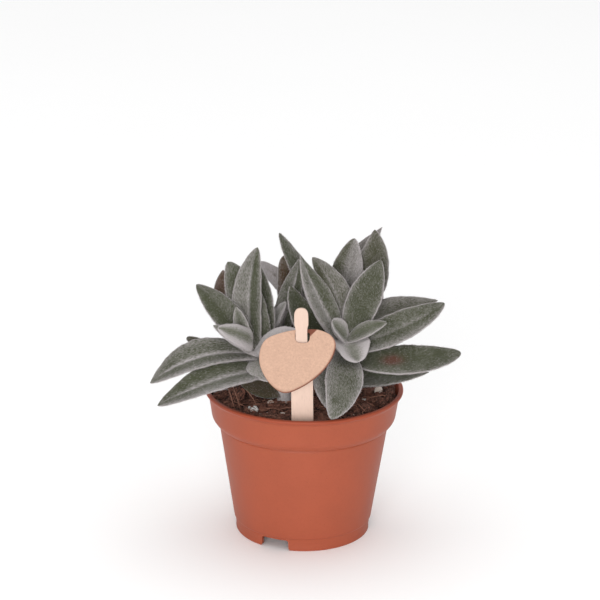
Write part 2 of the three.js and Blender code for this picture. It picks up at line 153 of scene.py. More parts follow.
# Label tag: outline in its own plane. The slot's edges are the way each faces and how far it lies
# from the slot's middle; a high squareness makes sharp corners. The dark band along the outline is
# the cut's scorch and, strongest at the lower right, painted shadow
TAG = {"thick": 0.8, "lean_back": 33.0, "height": 34.3, "bevel": 0.1, "scorch": 0.95, "warp": 0.12,
       "cols": 256, "rows": 14, "curve_steps": 60}
TAG_OUTLINE = [
    (2, 4.2), (8, 3.6), (12.8, 1.2), (14.8, -2.4), (13.4, -8.4), (8.6, -15.2), (0, -21.6),
    (-7.8, -24.1), (-13.4, -20.4), (-18, -12), (-18, -5), (-15.6, -0.4), (-8, 2.8),
]
TAG_SLOT = {
    "middle": (0.4, 0.2), "squareness": 12.0,
    "edges": [((-1.0, 0.0), 3.1), ((1.0, 0.0), 3.2), ((0.0, 1.0), 2.4), ((0.0, -1.0), 2.2),
              ((-0.6, -0.8), 2.75), ((0.75, -0.66), 3.0)],
}
# Flap bent back beside the stick: start and end of its fold line, and its bend; it is painted dark as
# painted shade
TAG_FLAP = {"start": (3.5, 0.6), "end": (7.3, 4.2), "bend": 14.0}

# Stems: cover and young are how they look
STEM = {"foot_z": 46.0, "free_z": 66.5, "foot_radius": 3.3, "top_radius": 2.5, "rows": 26,
        "sides": 24, "hairs": 3000, "cover": 0.95, "young": 1.0}

# Hairs: lean along the blade, spread of their ways, length and radius as shares of the settings,
# and the lowest and highest shade
HAIR_KINDS = {
    "blade": (1.5, 0.45, 1.0, 1.0, 0.0, 0.5),
    "margin": (0.7, 0.35, 0.72, 1.0, 0.5, 1.0),
    "stem": (0.6, 0.5, 0.9, 1.3, 0.3, 1.0),
}
HAIR_SINK = 0.03
# Share of the tried hairs that stay where the cover is none
BARE_HAIRS = 0.35
HAIR_PLACES = np.linspace(0.03, 0.995, 200)

# Leaves: powers and shares that all of them have
LEAF_SWELL = 1.1
LEAF_BELLY = 0.38
LEAF_TIP_SHARE = 0.25
LEAF_TIP_POWER = 0.55
LEAF_BROAD_BASE = 0.16
LEAF_CHANNEL = 1.4
LEAF_CREASE = 0.13
LEAF_RIPPLE = 0.11
LEAF_HOOK_POWER = 6
# Brown scar: its length and width as shares, and its strength in the middle
LEAF_SCAR = {"long": 0.075, "wide": 0.3, "strong": 1.8}
LEAF_MIN_HALF = 0.16
NORMAL_STEP = 1e-3
LEAF_SIDES = 32
LEAF_ROWS = np.concatenate([
    [0, 0.03, 0.07], np.linspace(0.12, 0.9, 37), [0.93, 0.955, 0.975, 0.988, 0.996, 1.0]])
# Shares of the half width, from one margin to the other, at which a leaf's bands are given
BAND_PLACES = (-0.9, -0.6, -0.22, 0.22, 0.6, 0.9)
PLAIN_BANDS = (0.3, 0.2, 0.12, 0.12, 0.2, 0.3)


def leaf(tip, at, wide=13.0, thick=3.5, arch=0.0, sway=0.0, roll=0.0, fold=0.4, taper=0.72,
         widest=0.5, neck=0.36, bands=PLAIN_BANDS, ridge=0.12, margins=(0.7, 0.7),
         brown=0.0, young=0.0, scar=None, lift=(0, 0, 0), hook=0.0):
    """One leaf. tip: its end. at: how far up the free stem it grows, from 0 to 1. arch, sway: how
    far its middle is raised or pushed sideways. roll: turn about its length. fold: rise of the
    margins, as a share of the half width. taper: low is blunt. widest: share of the length at
    which it is widest. neck: its width at the base, as a share. bands: how much of the hairs'
    grey shows, at BAND_PLACES; on an upright leaf they run from right to left. Where one half is
    greyer than the other, that grey is partly painted sheen of hairs that catch the light. ridge,
    margins: the same along the fold and on the two margins, partly painted sheen of hairs seen
    edge-on. brown, young: shares of those colours. scar: place of a brown scar, as shares along
    and across. lift: how far its base stands from the stem's middle. hook: how far its tip is bent
    sideways."""
    return locals()


def shoot(foot, way, top, faces, *leaves):
    """One shoot. foot, way, top: where its free stem starts, heads and ends. faces: the way that
    the upper faces of its leaves look."""
    return locals()


SHOOTS = {}
SHOOTS["shoot_left"] = shoot(
    (-9, -9), (-9, -9, 80), (-25, -15, 90), (-0.3, -0.5, 0.8),
    leaf((-68.3, -20, 76), 0.84, wide=17, arch=7.7, fold=0.45, taper=0.74, widest=0.54,
         bands=(0.36, 0.22, 0.12, 0, 0.12, 0.5), ridge=0.8, margins=(0.8, 0.9)),
    leaf((-64, -36, 71.5), 0.45, wide=18.5, arch=9.5, sway=-5, fold=0.45, taper=0.62,
         bands=(0.12, 0, 0.1, 0, 0.2, 0.5), ridge=0.65, margins=(0.4, 0.85)),
    leaf((-48.5, -4, 117), 0.86, arch=1, sway=0.8, fold=0.3, taper=0.66,
         bands=(0.15, 0.15, 0.15, 0, 0, 0.14), margins=(0.5, 0.8)),
    leaf((-37.4, 16, 117.7), 0.7, wide=15, arch=2, sway=-5, brown=0.75,
         bands=(0.05, 0.04, 0.05, 0.06, 0.08, 0.15), margins=(0.3, 0.5)),
    leaf((-35, 8, 124), 0.76, wide=16, arch=2, sway=2, taper=0.6,
         bands=(0.16, 0.08, 0.02, 0.05, 0.12, 0.3), margins=(0.3, 0.9)),
    leaf((-21.5, 2, 132.8), 0.85, wide=14, sway=-4, fold=0.5, taper=0.64,
         bands=(0.3, 0.06, -0.05, 0.3, 0.3, 0.45), ridge=0.55, margins=(0.8, 1)),
    leaf((-22.3, 12, 123), 0.7, wide=13.5, sway=0.1, bands=(0.15, 0.05, 0.02, 0.02, 0.05, 0.15)),
    leaf((-38, -27, 104.6), 1, wide=10.8, thick=5, arch=-0.4, roll=-28, lift=(2, -1, 3.6), fold=0.35,
         taper=0.6, widest=0.3, neck=0.9, young=0.85, bands=(1, 0.6, 0.1, 0.25, 0.85, 1), ridge=0,
         margins=(1.2, 1.2)),
    leaf((-40.5, -16, 102), 0.93, wide=7, thick=3, arch=1, young=0.4,
         bands=(0.5, 0.3, 0.15, 0.15, 0.3, 0.6), margins=(1, 1.1)),
    leaf((-30.5, -14, 110), 1, wide=7, thick=2.6, arch=-1, young=0.5,
         bands=(0.5, 0.3, 0.2, 0.2, 0.3, 0.6), margins=(1, 1.1)),
    leaf((-11, -32, 82.5), 0.82, wide=14, arch=1.5, sway=2, neck=0.7, young=0.7,
         bands=(0.6, 0.45, 0.35, 0.4, 0.5, 0.7), margins=(1, 1)),
    leaf((-3, -24, 103), 0.9, wide=11, thick=4, arch=1, fold=0.3, young=0.9,
         bands=(1, 0.9, 0.8, 0.8, 0.9, 1.1), margins=(1.2, 1.3)),
    leaf((-53.3, 4, 89.3), 0.66, wide=7.5, arch=-1, sway=-2, taper=0.42, brown=0.2,
         bands=(0.1, 0.05, 0.05, 0.05, 0.05, 0.15), margins=(0.4, 0.4)),
    leaf((-49, 27, 76), 0.4, arch=4),
    # Painted shade: this low leaf lies in shadow under the one above; negative bands, brown and bare
    # margins paint it dark
    leaf((-30, -9, 75), 0.05, wide=14.5, arch=0.5, fold=0.2, brown=0.4,
         bands=(-0.2, -0.3, -0.3, -0.3, -0.3, -0.2), margins=(0, 0)))
SHOOTS["shoot_middle"] = shoot(
    (-5, 12), (-7, 10, 75), (-14, 6, 89), (0, -0.4, 0.9),
    leaf((-9.3, 20, 124), 0.75, wide=14.2, arch=-2, sway=4.6, taper=0.4, widest=0.62, brown=0.6,
         bands=(0.15, 0.06, 0, 0, 0.05, 0.25)),
    leaf((-2.5, 6, 126.5), 0.9, wide=11.2, sway=1.3, fold=0.5, bands=(0.15, 0.02, 0, 0.2, 0.2, 0.3),
         ridge=0.8, margins=(0.5, 0.8)),
    leaf((-8.5, -2, 108.5), 1, wide=10, thick=3, taper=0.6, young=0.5,
         bands=(0.7, 0.5, 0.35, 0.3, 0.5, 0.7), ridge=0.5, margins=(1, 1)),
    leaf((-1, -17, 88), 0.6, arch=2),
    leaf((-28, 44, 96), 0.6, arch=3),
    leaf((-10, 50, 82), 0.35, arch=4),
    leaf((-30, 22, 104), 0.95, wide=7, thick=3, arch=-1, young=0.5),
    leaf((-11, 16, 104), 1, wide=7, thick=3, arch=-1, young=0.5))
SHOOTS["shoot_right"] = shoot(
    (14, -8), (13, -6, 82), (19, -14, 95), (0.15, -0.6, 0.8),
    leaf((-2.5, -4, 131.5), 0.88, wide=12.4, arch=1, sway=-2.4, fold=0.45, taper=1,
         bands=(0.25, 0.1, 0.06, 0.34, 0.26, 0.6), ridge=0.62, margins=(0.6, 1.3)),
    leaf((3, 2, 128.5), 0.8, wide=13.6, arch=2, sway=3.9, fold=0.45, taper=0.66, brown=0.08,
         bands=(0.34, 0.28, 0.2, 0.06, 0, 0.2), ridge=0.42, margins=(0.7, 0.8)),
    leaf((33.5, 2, 127.5), 0.95, wide=15, fold=0.3, bands=(0.2, 0.09, 0.07, 0.09, 0.09, 0.3),
         ridge=0.06, margins=(1.3, 1.2)),
    leaf((61.5, -14, 113), 0.82, wide=15.5, sway=3, fold=0.35, taper=0.6,
         bands=(0.4, 0.18, 0, 0.16, 0.1, 0.16), ridge=0.3, margins=(1, 0.9)),
    leaf((68.6, -29, 94), 0.7, wide=16.2, sway=4.4, hook=-1.3, fold=0.3, taper=0.52, widest=0.56,
         scar=(0.46, -0.02), bands=(0.2, 0.06, 0.04, 0.04, 0.04, 0.12), ridge=0, margins=(0.9, 0.5)),
    leaf((14.4, -50, 71), 0.75, wide=16.6, arch=4, sway=-1.2, hook=2.5, fold=0.35, taper=0.6,
         widest=0.52, bands=(0.5, 0.26, 0.16, 0.16, 0.18, 0.45), ridge=0.16, margins=(1.3, 1.3)),
    leaf((11.5, -37, 70.5), 0.45, wide=14, arch=4, sway=4, fold=0.35,
         bands=(0.6, 0.4, 0.26, 0.2, 0.2, 0.3), margins=(1, 0.7)),
    leaf((23.5, -28, 90), 1, wide=16, thick=3.8, arch=-2, sway=0.4, fold=0.8, taper=0.42, neck=1,
         young=0.8, bands=(1.2, 1, 0.5, 0.25, 0.85, 1.2), ridge=0.1, margins=(1.3, 1.3)),
    leaf((12, -20, 106), 0.98, wide=9.5, thick=3, arch=-1.5, fold=0.75, taper=0.42, widest=0.6,
         neck=0.55, young=0.8, bands=(0.8, 0.4, 0.15, 0.2, 0.4, 0.8), ridge=0.1, margins=(1.3, 1.3)),
    leaf((36, -18, 105), 0.97, wide=7.8, thick=2.6, arch=1, fold=0.35, young=0.4,
         bands=(0.5, 0.2, 0.08, 0.08, 0.16, 0.4), ridge=0.1, margins=(1.3, 1.2)),
    leaf((-6.5, -4, 117), 0.6, wide=14.5, thick=3, sway=-4.5, bands=(0.1, 0.05, 0, 0, 0.05, 0.2),
         margins=(0.4, 0.9)))
SHOOTS["shoot_back"] = shoot(
    (14, 15), (15, 14, 84), (17, 12, 100), (0.05, -0.45, 0.9),
    leaf((-12.1, 16, 135.5), 0.6, wide=11, arch=-3, sway=0.5, taper=0.66,
         bands=(0.4, 0.26, 0.12, 0.06, 0.04, 0.2), margins=(0.8, 0.6)),
    leaf((-21, 30, 117.5), 0.5, wide=12.6, sway=0.3, taper=0.5, brown=0.5,
         bands=(0.7, 0.7, 0.7, 0.75, 0.8, 0.9), margins=(1, 1.3)),
    leaf((22, 14, 134), 0.92, wide=14.6, arch=-1, sway=-0.7, fold=0.45, taper=0.66, brown=0.08,
         bands=(0.7, 0.6, 0.42, 0.3, 0.02, 0.1), ridge=0.55, margins=(1, 0.6)),
    leaf((31, 18, 137), 0.86, wide=18.4, arch=-1, sway=5.8, fold=0.3, widest=0.46, brown=0.1,
         bands=(0.2, 0.1, 0.06, 0.06, 0.15, 0.4), ridge=0.05, margins=(0.6, 1.2)),
    leaf((34.8, 30, 134.8), 0.7, wide=15, arch=-2, sway=-4, taper=1.05, brown=0.2,
         bands=(0.5, 0.5, 0.4, 0.4, 0.5, 0.5)),
    leaf((59.5, 2, 109), 0.75, wide=14, arch=3.6, sway=3, fold=0.35, brown=0.08,
         bands=(0.45, 0.14, 0.1, 0.24, 0.3, 0.4), ridge=0.2, margins=(0.9, 0.9)),
    leaf((56, -8, 78.3), 0.12, wide=15.6, arch=3, sway=7.6, lift=(0, -1, -1.6), fold=0.35, taper=0.95,
         bands=(0.15, 0.02, 0.05, 0.05, 0.15, 0.3), margins=(0.5, 0.8)),
    leaf((8, 50, 91), 0.4, arch=3),
    leaf((36, 46, 98), 0.55, arch=3),
    leaf((46, 30, 86), 0.3, arch=4),
    leaf((14, 2, 114), 1, wide=7, arch=-1, young=0.5),
    leaf((20, 24, 115), 1, wide=7, arch=-1, young=0.5))


# ---- Colours that are not settings, and the stage, in metres

# Painted shade on the rim's top: a deeper, darker orange for light through the thin plastic, the same
# plastic as the rest
RIM_COLOUR = (0.27, 0.046, 0.017)
# Heights between which the painted shade on the rim's top sets in
RIM_HEIGHTS = (0.0664, 0.067)
DRY_PEAT = (0.33, 0.165, 0.115)
FIBRE_COLOURS = (0.17, 0.066, 0.042), (0.42, 0.205, 0.14)
FIBRE_SPOTS = (0.05, 0.02, 0.013)
GRIT_COLOURS = (0.68, 0.585, 0.525), (0.72, 0.715, 0.7)
GRIT_STAIN = (0.3, 0.2, 0.15)
YOUNG_FLESH = (0.1, 0.108, 0.07)
BROWN_FLESH = (0.085, 0.035, 0.022)
SHEEN_TINT = (0.86, 0.83, 0.82, 1.0)
# Heights over which painted light on the stick, palest low down where the tag shades it, gives way to a
# little painted shade at the head
STICK_PALE_HEIGHTS = (0.062, 0.1)
FLOOR_COLOURS = (0.96, 0.96, 0.96), (0.98, 0.98, 0.98)
FLOOR_HALF = 3.0
WHITE = (1.0, 1.0, 1.0, 1.0)
# Soft lights: place and size
FRONT_LIGHT = (-0.25, -2.5, 0.5), 1.5
TOP_LIGHT = (0.0, 0.5, 2.6), 3.0
LIGHT_AIM = (0.0, 0.0, 0.08)
SENSOR_WIDTH = 36.0
CLIP_RANGE = (0.01, 20.0)


# ---- Settings

COLOUR = {"subtype": "COLOR", "size": 3, "min": 0.0, "max": 1.0}
LENGTH = {"subtype": "DISTANCE", "unit": "LENGTH"}
ANGLE = {"subtype": "ANGLE", "unit": "ROTATION"}
POWER = {"subtype": "POWER", "unit": "POWER"}


class PotSettings(bpy.types.PropertyGroup):
    """Size of the pot's grid and its plastic."""

    sides: IntProperty(name="Sides", description="Points round the pot", default=180, min=24, max=360)
    plastic: FloatVectorProperty(
        name="Plastic", description="Colour of the pot's plastic", default=(0.3, 0.0645, 0.0292),
        **COLOUR)


class SoilSettings(bpy.types.PropertyGroup):
    """Peat, and what lies on it."""

    peat: FloatVectorProperty(
        name="Peat", description="Colour of the moist peat", default=(0.135, 0.052, 0.034), **COLOUR)
    clods: IntProperty(name="Clods", description="Lumps in the soil's surface", default=520, min=0)
    crumbs: IntProperty(name="Crumbs", description="Loose crumbs of peat", default=3000, min=1)
    fibres: IntProperty(name="Fibres", description="Loose fibres", default=620, min=1)
    grains: IntProperty(name="Grains", description="Scattered white grains", default=12, min=1)
    seed: IntProperty(name="Seed", description="Seed of the random draws", default=7, min=0)


class LeafSettings(bpy.types.PropertyGroup):
    """Leaves, stems and their hairs."""

    green: FloatVectorProperty(
        name="Green", description="Leaf colour under the hairs", default=(0.05, 0.0545, 0.0305),
        **COLOUR)
    hair: FloatVectorProperty(
        name="Hair", description="Colour of the felt", default=(0.352, 0.325, 0.326), **COLOUR)
    hair_length: FloatProperty(
        name="Hair length", description="Longest hairs on the blades", default=0.0009, min=0.0001,
        max=0.003, **LENGTH)
    hair_radius: FloatProperty(
        name="Hair radius", description="Radius of a hair at its root", default=0.000036,
        min=0.00001, max=0.0002, **LENGTH)
    blade_hairs: FloatProperty(
        name="Blade hairs", description="Hairs to a square millimetre of blade", default=2.2, min=0.0)
    margin_hairs: FloatProperty(
        name="Margin hairs", description="Hairs to a millimetre of margin", default=14.0, min=0.0)
    seed: IntProperty(name="Seed", description="Seed of the random draws", default=11, min=0)


class LabelSettings(bpy.types.PropertyGroup):
    """Wooden stick and kraft tag."""

    wood: FloatVectorProperty(
        name="Wood", description="Colour of the stick", default=(0.635, 0.465, 0.378), **COLOUR)
    kraft: FloatVectorProperty(
        name="Kraft", description="Colour of the tag's face", default=(0.52, 0.327, 0.2345), **COLOUR)
    # Colour of the scorched cut edge, also laid as painted shadow along the lower right edge and
    # painted shade on the bent-back flap
    scorch: FloatVectorProperty(
        name="Cut edge", description="Colour of the tag's cut edge", default=(0.16, 0.045, 0.022),
        **COLOUR)


class StageSettings(bpy.types.PropertyGroup):
    """Camera, light and floor."""

    distance: FloatProperty(
        name="Distance", description="From the camera to the pot's axis, as seen from the side",
        default=0.9253, min=0.2, max=5.0, **LENGTH)
    height: FloatProperty(
        name="Height", description="Height of the camera", default=0.4131, min=0.0, max=3.0, **LENGTH)
    turn: FloatProperty(
        name="Turn", description="How far the camera looks to the left",
        default=math.radians(0.143), **ANGLE)
    tilt: FloatProperty(
        name="Tilt", description="Turn of the camera about its line of sight",
        default=math.radians(0.666), **ANGLE)
    pitch: FloatProperty(
        name="Pitch", description="How far the camera looks down", default=math.radians(18.19),
        **ANGLE)
    lens: FloatProperty(name="Lens", description="Focal length in mm on a 36 mm sensor", default=130.5)
    sky: FloatProperty(
        name="Surroundings", description="Brightness of the white surroundings", default=0.72)
    front: FloatProperty(
        name="Front light", description="Power of the soft light in front", default=55.0, **POWER)
    top: FloatProperty(
        name="Top light", description="Power of the soft light above", default=24.0, **POWER)


# ---- Curves and surfaces, in millimetres


def unit(vectors):
    """Vectors of the last axis at length 1."""
    return vectors / np.maximum(np.linalg.norm(vectors, axis=-1, keepdims=True), 1e-12)


def smooth(value, low, high):
    """0 below low, 1 above high, 3t^2 - 2t^3 between them."""
    t = np.clip((value - low) / (high - low), 0.0, 1.0)
    return t * t * (3 - 2 * t)


def even_turns(count, first=0.0):
    """Angles at even steps round a full turn, the first one that many steps on."""
    return (np.arange(count) + first) / count * FULL_TURN


def around(turn):
    """Places on a circle of radius 1: (cos t, sin t)."""
    return np.stack([np.cos(turn), np.sin(turn)], axis=-1)


def circle_in(side, other, count):
    """Points of a circle of radius 1 in the plane of two ways: side cos t + other sin t."""
    turn = even_turns(count)[:, None]
    return side[..., None, :] * np.cos(turn) + other[..., None, :] * np.sin(turn)


def turned(axis, degrees):
    """Rotation matrix about X (0), Y (1) or Z (2)."""
    c, s = math.cos(math.radians(degrees)), math.sin(math.radians(degrees))
    i, j = (axis + 1) % 3, (axis + 2) % 3
    matrix = np.eye(3)
    matrix[[i, j, i, j], [i, j, j, i]] = c, c, -s, s
    return matrix


def bezier(a, b, c, share):
    """Quadratic curve: (1-s)^2 a + 2s(1-s) b + s^2 c."""
    a, b, c = (np.asarray(p, float) for p in (a, b, c))
    s = np.asarray(share, float)[..., None]
    return (1 - s) ** 2 * a + 2 * s * (1 - s) * b + s ** 2 * c


def bezier_slope(a, b, c, share):
    """Slope of the quadratic curve: 2(1-s)(b-a) + 2s(c-b)."""
    a, b, c = (np.asarray(p, float) for p in (a, b, c))
    s = np.asarray(share, float)[..., None]
    return 2 * (1 - s) * (b - a) + 2 * s * (c - b)


def closed_spline(points, steps):
    """Closed Catmull-Rom curve through the points, its knots spaced by the root of the distance."""
    p = np.asarray(points, float)
    before, start, end, after = (np.roll(p, -i, axis=0) for i in (-1, 0, 1, 2))
    k0, k1, k2 = (np.linalg.norm(b - a, axis=1)[:, None] ** 0.5
                  for a, b in ((before, start), (start, end), (end, after)))
    m1 = (start - before) / k0 - (end - before) / (k0 + k1) + (end - start) / k1
    m2 = (end - start) / k1 - (after - start) / (k1 + k2) + (after - end) / k2
    t = (np.arange(steps) / steps)[None, :, None]
    a, b, m1, m2 = start[:, None], end[:, None], (m1 * k1)[:, None], (m2 * k1)[:, None]
    curve = (2 * t**3 - 3 * t**2 + 1) * a + (t**3 - 2 * t**2 + t) * m1 \
        + (3 * t**2 - 2 * t**3) * b + (t**3 - t**2) * m2
    return curve.reshape(-1, p.shape[1])


def rounded(profile, steps):
    """Profile with its corners rounded: each corner becomes a quadratic curve that starts and
    ends at its reach from the corner."""
    profile = np.array(profile)
    p, reach = profile[:, :2], profile[:, 2:]
    ends = np.vstack([[0.0, p[0, 1]], p, [0.0, p[-1, 1]]])
    before, after = unit(ends[:-2] - p), unit(ends[2:] - p)
    return bezier((p + before * reach)[:, None], p[:, None], (p + after * reach)[:, None],
                  np.linspace(0, 1, steps)[None, :]).reshape(-1, 2)


def tube_faces(rows, cols):
    """Faces of rows rings of cols points, closed round, with a fan from each end ring to a pole.
    The two poles are the points that follow the last ring."""
    i = (np.arange(rows - 1) * cols)[:, None]
    j = np.arange(cols)
    k = (j + 1) % cols
    quads = np.stack([i + j, i + k, i + cols + k, i + cols + j], axis=-1).reshape(-1, 4)
    last, low = (rows - 1) * cols, np.full(cols, rows * cols)
    fans = np.vstack([np.stack([low, k, j], axis=-1),
                      np.stack([low + 1, last + j, last + k], axis=-1)])
    return [quads, fans]


def ring_faces(rows, cols):
    """Faces of a grid that is closed both ways, like a ring's."""
    i = np.arange(rows)[:, None]
    here, below = i * cols, (i + 1) % rows * cols
    j = np.arange(cols)
    k = (j + 1) % cols
    return [np.stack([here + j, below + j, below + k, here + k], axis=-1).reshape(-1, 4)]


def repeated(faces, count, each):
    """Faces of one small shape, again for count shapes of each points."""
    first = (np.arange(count) * each)[:, None, None]
    return [(f + first).reshape(-1, f.shape[1]) for f in faces]


def with_poles(rings):
    """Points of an array of rings (rows, cols, 3), followed by the middle of both end rings."""
    return np.vstack([rings.reshape(-1, 3), rings[0].mean(axis=0), rings[-1].mean(axis=0)])


def with_ends(values):
    """Values of a grid, followed by those of its two poles."""
    return np.concatenate([values.reshape(-1, *values.shape[2:]), values[:1, 0], values[-1:, 0]])


def prism(outline, low, high):
    """Points and faces of a flat outline (n, 2), drawn anticlockwise, carried from low to high."""
    n = len(outline)
    points = np.vstack([np.column_stack([outline, np.full(n, z)]) for z in (low, high)])
    j = np.arange(n)
    k = (j + 1) % n
    return points, [np.stack([j, k, k + n, j + n], axis=-1), j[::-1][None, :], (j + n)[None, :]]


def joined(shapes):
    """Several (points, faces) as one, with the faces' numbers moved on."""
    points, faces, first = [], [], 0
    for shape_points, shape_faces in shapes:
        points.append(shape_points)
        faces += [f + first for f in shape_faces]
        first += len(shape_points)
    return np.vstack(points), faces


def waves(rng, points, size, count):
    """Smooth noise between about -1 and 1: a sum of sine waves of random way and phase. size is
    their length in the points' unit."""
    ways = unit(rng.normal(size=(count, points.shape[-1])))
    pace = FULL_TURN / (size * rng.uniform(0.6, 1.5, count))
    phase = rng.uniform(0, FULL_TURN, count)
    return np.sin(points @ (ways * pace[:, None]).T + phase).sum(axis=-1) / math.sqrt(count)


# ---- Leaves and stems


def stem_line(shoot):
    """The three points of the free stem's quadratic curve."""
    return (*shoot["foot"], STEM["free_z"]), shoot["way"], shoot["top"]


def leaf_frame(shoot, row):
    """The three points of a leaf's middle line, and the way that its upper face looks: the
    shoot's own way, made square to the leaf and rolled about it."""
    base = bezier(*stem_line(shoot), row["at"]) + np.array(row["lift"])
    tip = np.array(row["tip"], float)
    along = unit(tip - base)
    face = np.array(shoot["faces"], float)
    face = unit(face - along * (face @ along))
    roll = math.radians(row["roll"])
    face = face * math.cos(roll) + np.cross(along, face) * math.sin(roll)
    side = np.cross(along, face)
    way = (base + tip) / 2 + 2 * row["arch"] * face + 2 * row["sway"] * side
    return base, way, tip, face


def leaf_start(row, share):
    """Rounding of a broad base: a quarter circle over the first part of the length. Narrow
    bases, which grow into the stem, have none."""
    reach = LEAF_BROAD_BASE * (row["neck"] > 0.5) + 1e-6
    return np.sqrt(1 - (1 - np.clip((share + 0.002) / reach, 0, 1)) ** 2)


def leaf_half_width(row, share):
    """Half width: from the neck it swells as a sine to the widest place, then closes as a cosine
    to the power taper."""
    widest, neck = row["widest"], row["neck"]
    swell = np.sin(np.pi / 2 * np.clip(share / widest, 0, 1)) ** LEAF_SWELL
    closing = np.clip((share - widest) / (1 - widest), 0, 1)
    wide = np.where(share < widest, neck + (1 - neck) * swell,
                    np.maximum(np.cos(np.pi / 2 * closing), 0) ** row["taper"])
    return np.maximum(LEAF_MIN_HALF, row["wide"] / 2 * wide * leaf_start(row, share))


def leaf_half_thickness(row, share):
    """Half thickness: a sine belly, closed at the tip as a power of what is left."""
    belly = 1 - LEAF_BELLY + LEAF_BELLY * np.sin(np.pi * np.minimum(1, share * 1.3))
    tip = np.minimum(1, np.maximum(1 - share, 0) / LEAF_TIP_SHARE) ** LEAF_TIP_POWER
    return np.maximum(LEAF_MIN_HALF, row["thick"] / 2 * belly * tip * leaf_start(row, share))


def leaf_points(place, row, share, turn):
    """Leaf surface. The section at a share of the length is an ellipse bent up at both margins:
    middle line + across * half width * cos(turn) + up * (rise * |cos(turn)|^LEAF_CHANNEL
    + half thickness * sin(turn)), with a fine crease along the fold, slow ripples and a hook."""
    base, way, tip, face = place
    share, turn = np.broadcast_arrays(share, turn)
    tangent = unit(bezier_slope(base, way, tip, share))
    up = unit(face - tangent * (tangent @ face)[..., None])
    across = np.cross(up, tangent)
    half, thick = leaf_half_width(row, share), leaf_half_thickness(row, share)
    out, lift = np.cos(turn), np.sin(turn)
    u, v = out * half, share * np.linalg.norm(tip - base)
    phase = row["wide"] + row["at"] * 9 + tip[0]
    margin = 1 + 0.012 * np.sin(v * 0.55 + phase) + 0.008 * np.sin(v * 1.3 - phase * 2 + out)
    rise = row["fold"] * half * np.sin(np.pi * (0.12 + 0.88 * np.clip(share, 0, 1))) ** 0.6
    crease = 0.5 * row["fold"] * np.exp(-(out / LEAF_CREASE) ** 2) * np.maximum(lift, 0) \
        * smooth(share, 1, 0.8)
    ripple = LEAF_RIPPLE * np.sin(v * 0.8 + u * 0.35 + phase) \
        * np.sin(u * 0.9 - v * 0.25 + phase * 1.7)
    height = rise * np.abs(out) ** LEAF_CHANNEL + thick * lift - crease \
        + ripple * np.minimum(1, half / 3)
    sideways = u * margin - row["hook"] * np.clip(share, 0, 1) ** LEAF_HOOK_POWER
    return bezier(base, way, tip, share) + across * sideways[..., None] + up * height[..., None]


def stem_points(shoot, share, turn):
    """Stem surface: a circle carried up the free stem, its radius shrinking towards the top and
    swelling a little where pairs of leaves grew."""
    share, turn = np.broadcast_arrays(share, turn)
    radius = STEM["foot_radius"] + (STEM["top_radius"] - STEM["foot_radius"]) * share
    radius = radius * (1 + 0.04 * np.cos(share * 34) * smooth(share, 0, 0.2)) \
        + 0.05 * np.sin(turn * 7 + share * 9)
    circle = np.stack([np.cos(turn), np.sin(turn), np.zeros_like(turn)], axis=-1)
    return bezier(*stem_line(shoot), share) + circle * radius[..., None]


def surface_normals(surface, share, turn):
    """Outward normals of a surface of (share, turn), and its way along, by small steps."""
    step = NORMAL_STEP
    by_turn = surface(share, turn + step) - surface(share, turn - step)
    by_share = surface(share + step, turn) - surface(share - step, turn)
    return unit(np.cross(by_turn, by_share)), unit(by_share)


def leaf_looks(row, share, turn, order):
    """Per point: hair cover, partly painted sheen, then brown, young and the grain place (across,
    along, leaf).
    """
    out, lift = np.cos(turn), np.sin(turn)
    upper = smooth(lift, -0.2, 0.3)
    edge = smooth(np.abs(out), 0.9, 0.975)
    # Bands, ridge and margins: hair grey, partly painted sheen where the hairs catch the light
    cover = np.interp(out, BAND_PLACES, row["bands"])
    fold_line = np.exp(-(out / LEAF_CREASE) ** 2) * smooth(share, 0.02, 0.2) \
        * smooth(share, 1.0, 0.75)
    cover = cover + (row["ridge"] - cover) * fold_line * min(1.0, row["ridge"] * 4)
    cover = cover * upper + (0.3 + 0.6 * row["young"]) * (1 - upper)
    cover = np.maximum(cover, edge * np.where(out < 0, *row["margins"]))
    cover = cover + 0.3 * smooth(share, 0.25, 0.0) + 0.1 * smooth(share, 0.8, 1.0)
    brown = np.full(share.shape, row["brown"], float)
    if row["scar"]:
        along, across = row["scar"]
        spot = np.exp(-((share - along) / LEAF_SCAR["long"]) ** 2
                      - ((out - across) / LEAF_SCAR["wide"]) ** 2) * upper
        brown = np.maximum(brown, spot * LEAF_SCAR["strong"])
        cover = cover * (1 - 0.8 * np.minimum(spot, 1))
    brown = brown * (1 - edge * 0.7)
    length = np.linalg.norm(np.array(row["tip"])) * 0.45
    grain = np.stack([out * leaf_half_width(row, share), share * length + order * 61.0,
                      np.full(share.shape, order * 3.7) + (lift < 0)], axis=-1)
    return cover, brown, np.full(share.shape, row["young"], float), grain


def build_shoot(name, shoot):
    """Stem and leaves of one shoot in one mesh, each a closed skin."""
    shapes, looks = [], []
    share, turn = LEAF_ROWS[:, None], even_turns(LEAF_SIDES)[None, :]
    for order, row in enumerate(shoot["leaves"]):
        points = leaf_points(leaf_frame(shoot, row), row, share, turn)
        shapes.append((with_poles(points), tube_faces(len(share), LEAF_SIDES)))
        looks.append(leaf_looks(row, *np.broadcast_arrays(share, turn), order))
    rise, turn = np.linspace(0, 1, STEM["rows"])[:, None], even_turns(STEM["sides"])[None, :]
    stem = stem_points(shoot, rise, turn)
    stem = np.concatenate([stem[:1] + [0, 0, STEM["foot_z"] - STEM["free_z"]], stem])
    shapes.append((with_poles(stem), tube_faces(len(stem), STEM["sides"])))
    level = np.broadcast_to(np.r_[-1.0, rise[:, 0]][:, None], stem.shape[:2])
    none = np.zeros(level.shape)
    grain = np.stack([none + turn * 3, level * 24, none + 99.0], axis=-1)
    looks.append((none + STEM["cover"], none, none + STEM["young"], grain))
    points, faces = joined(shapes)
    keys = ("cover", "brown", "young", "grain")
    values = {key: np.concatenate([with_ends(v) for v in part]) for key, part in zip(keys, zip(*looks))}
    return new_piece(name, points, faces, values)


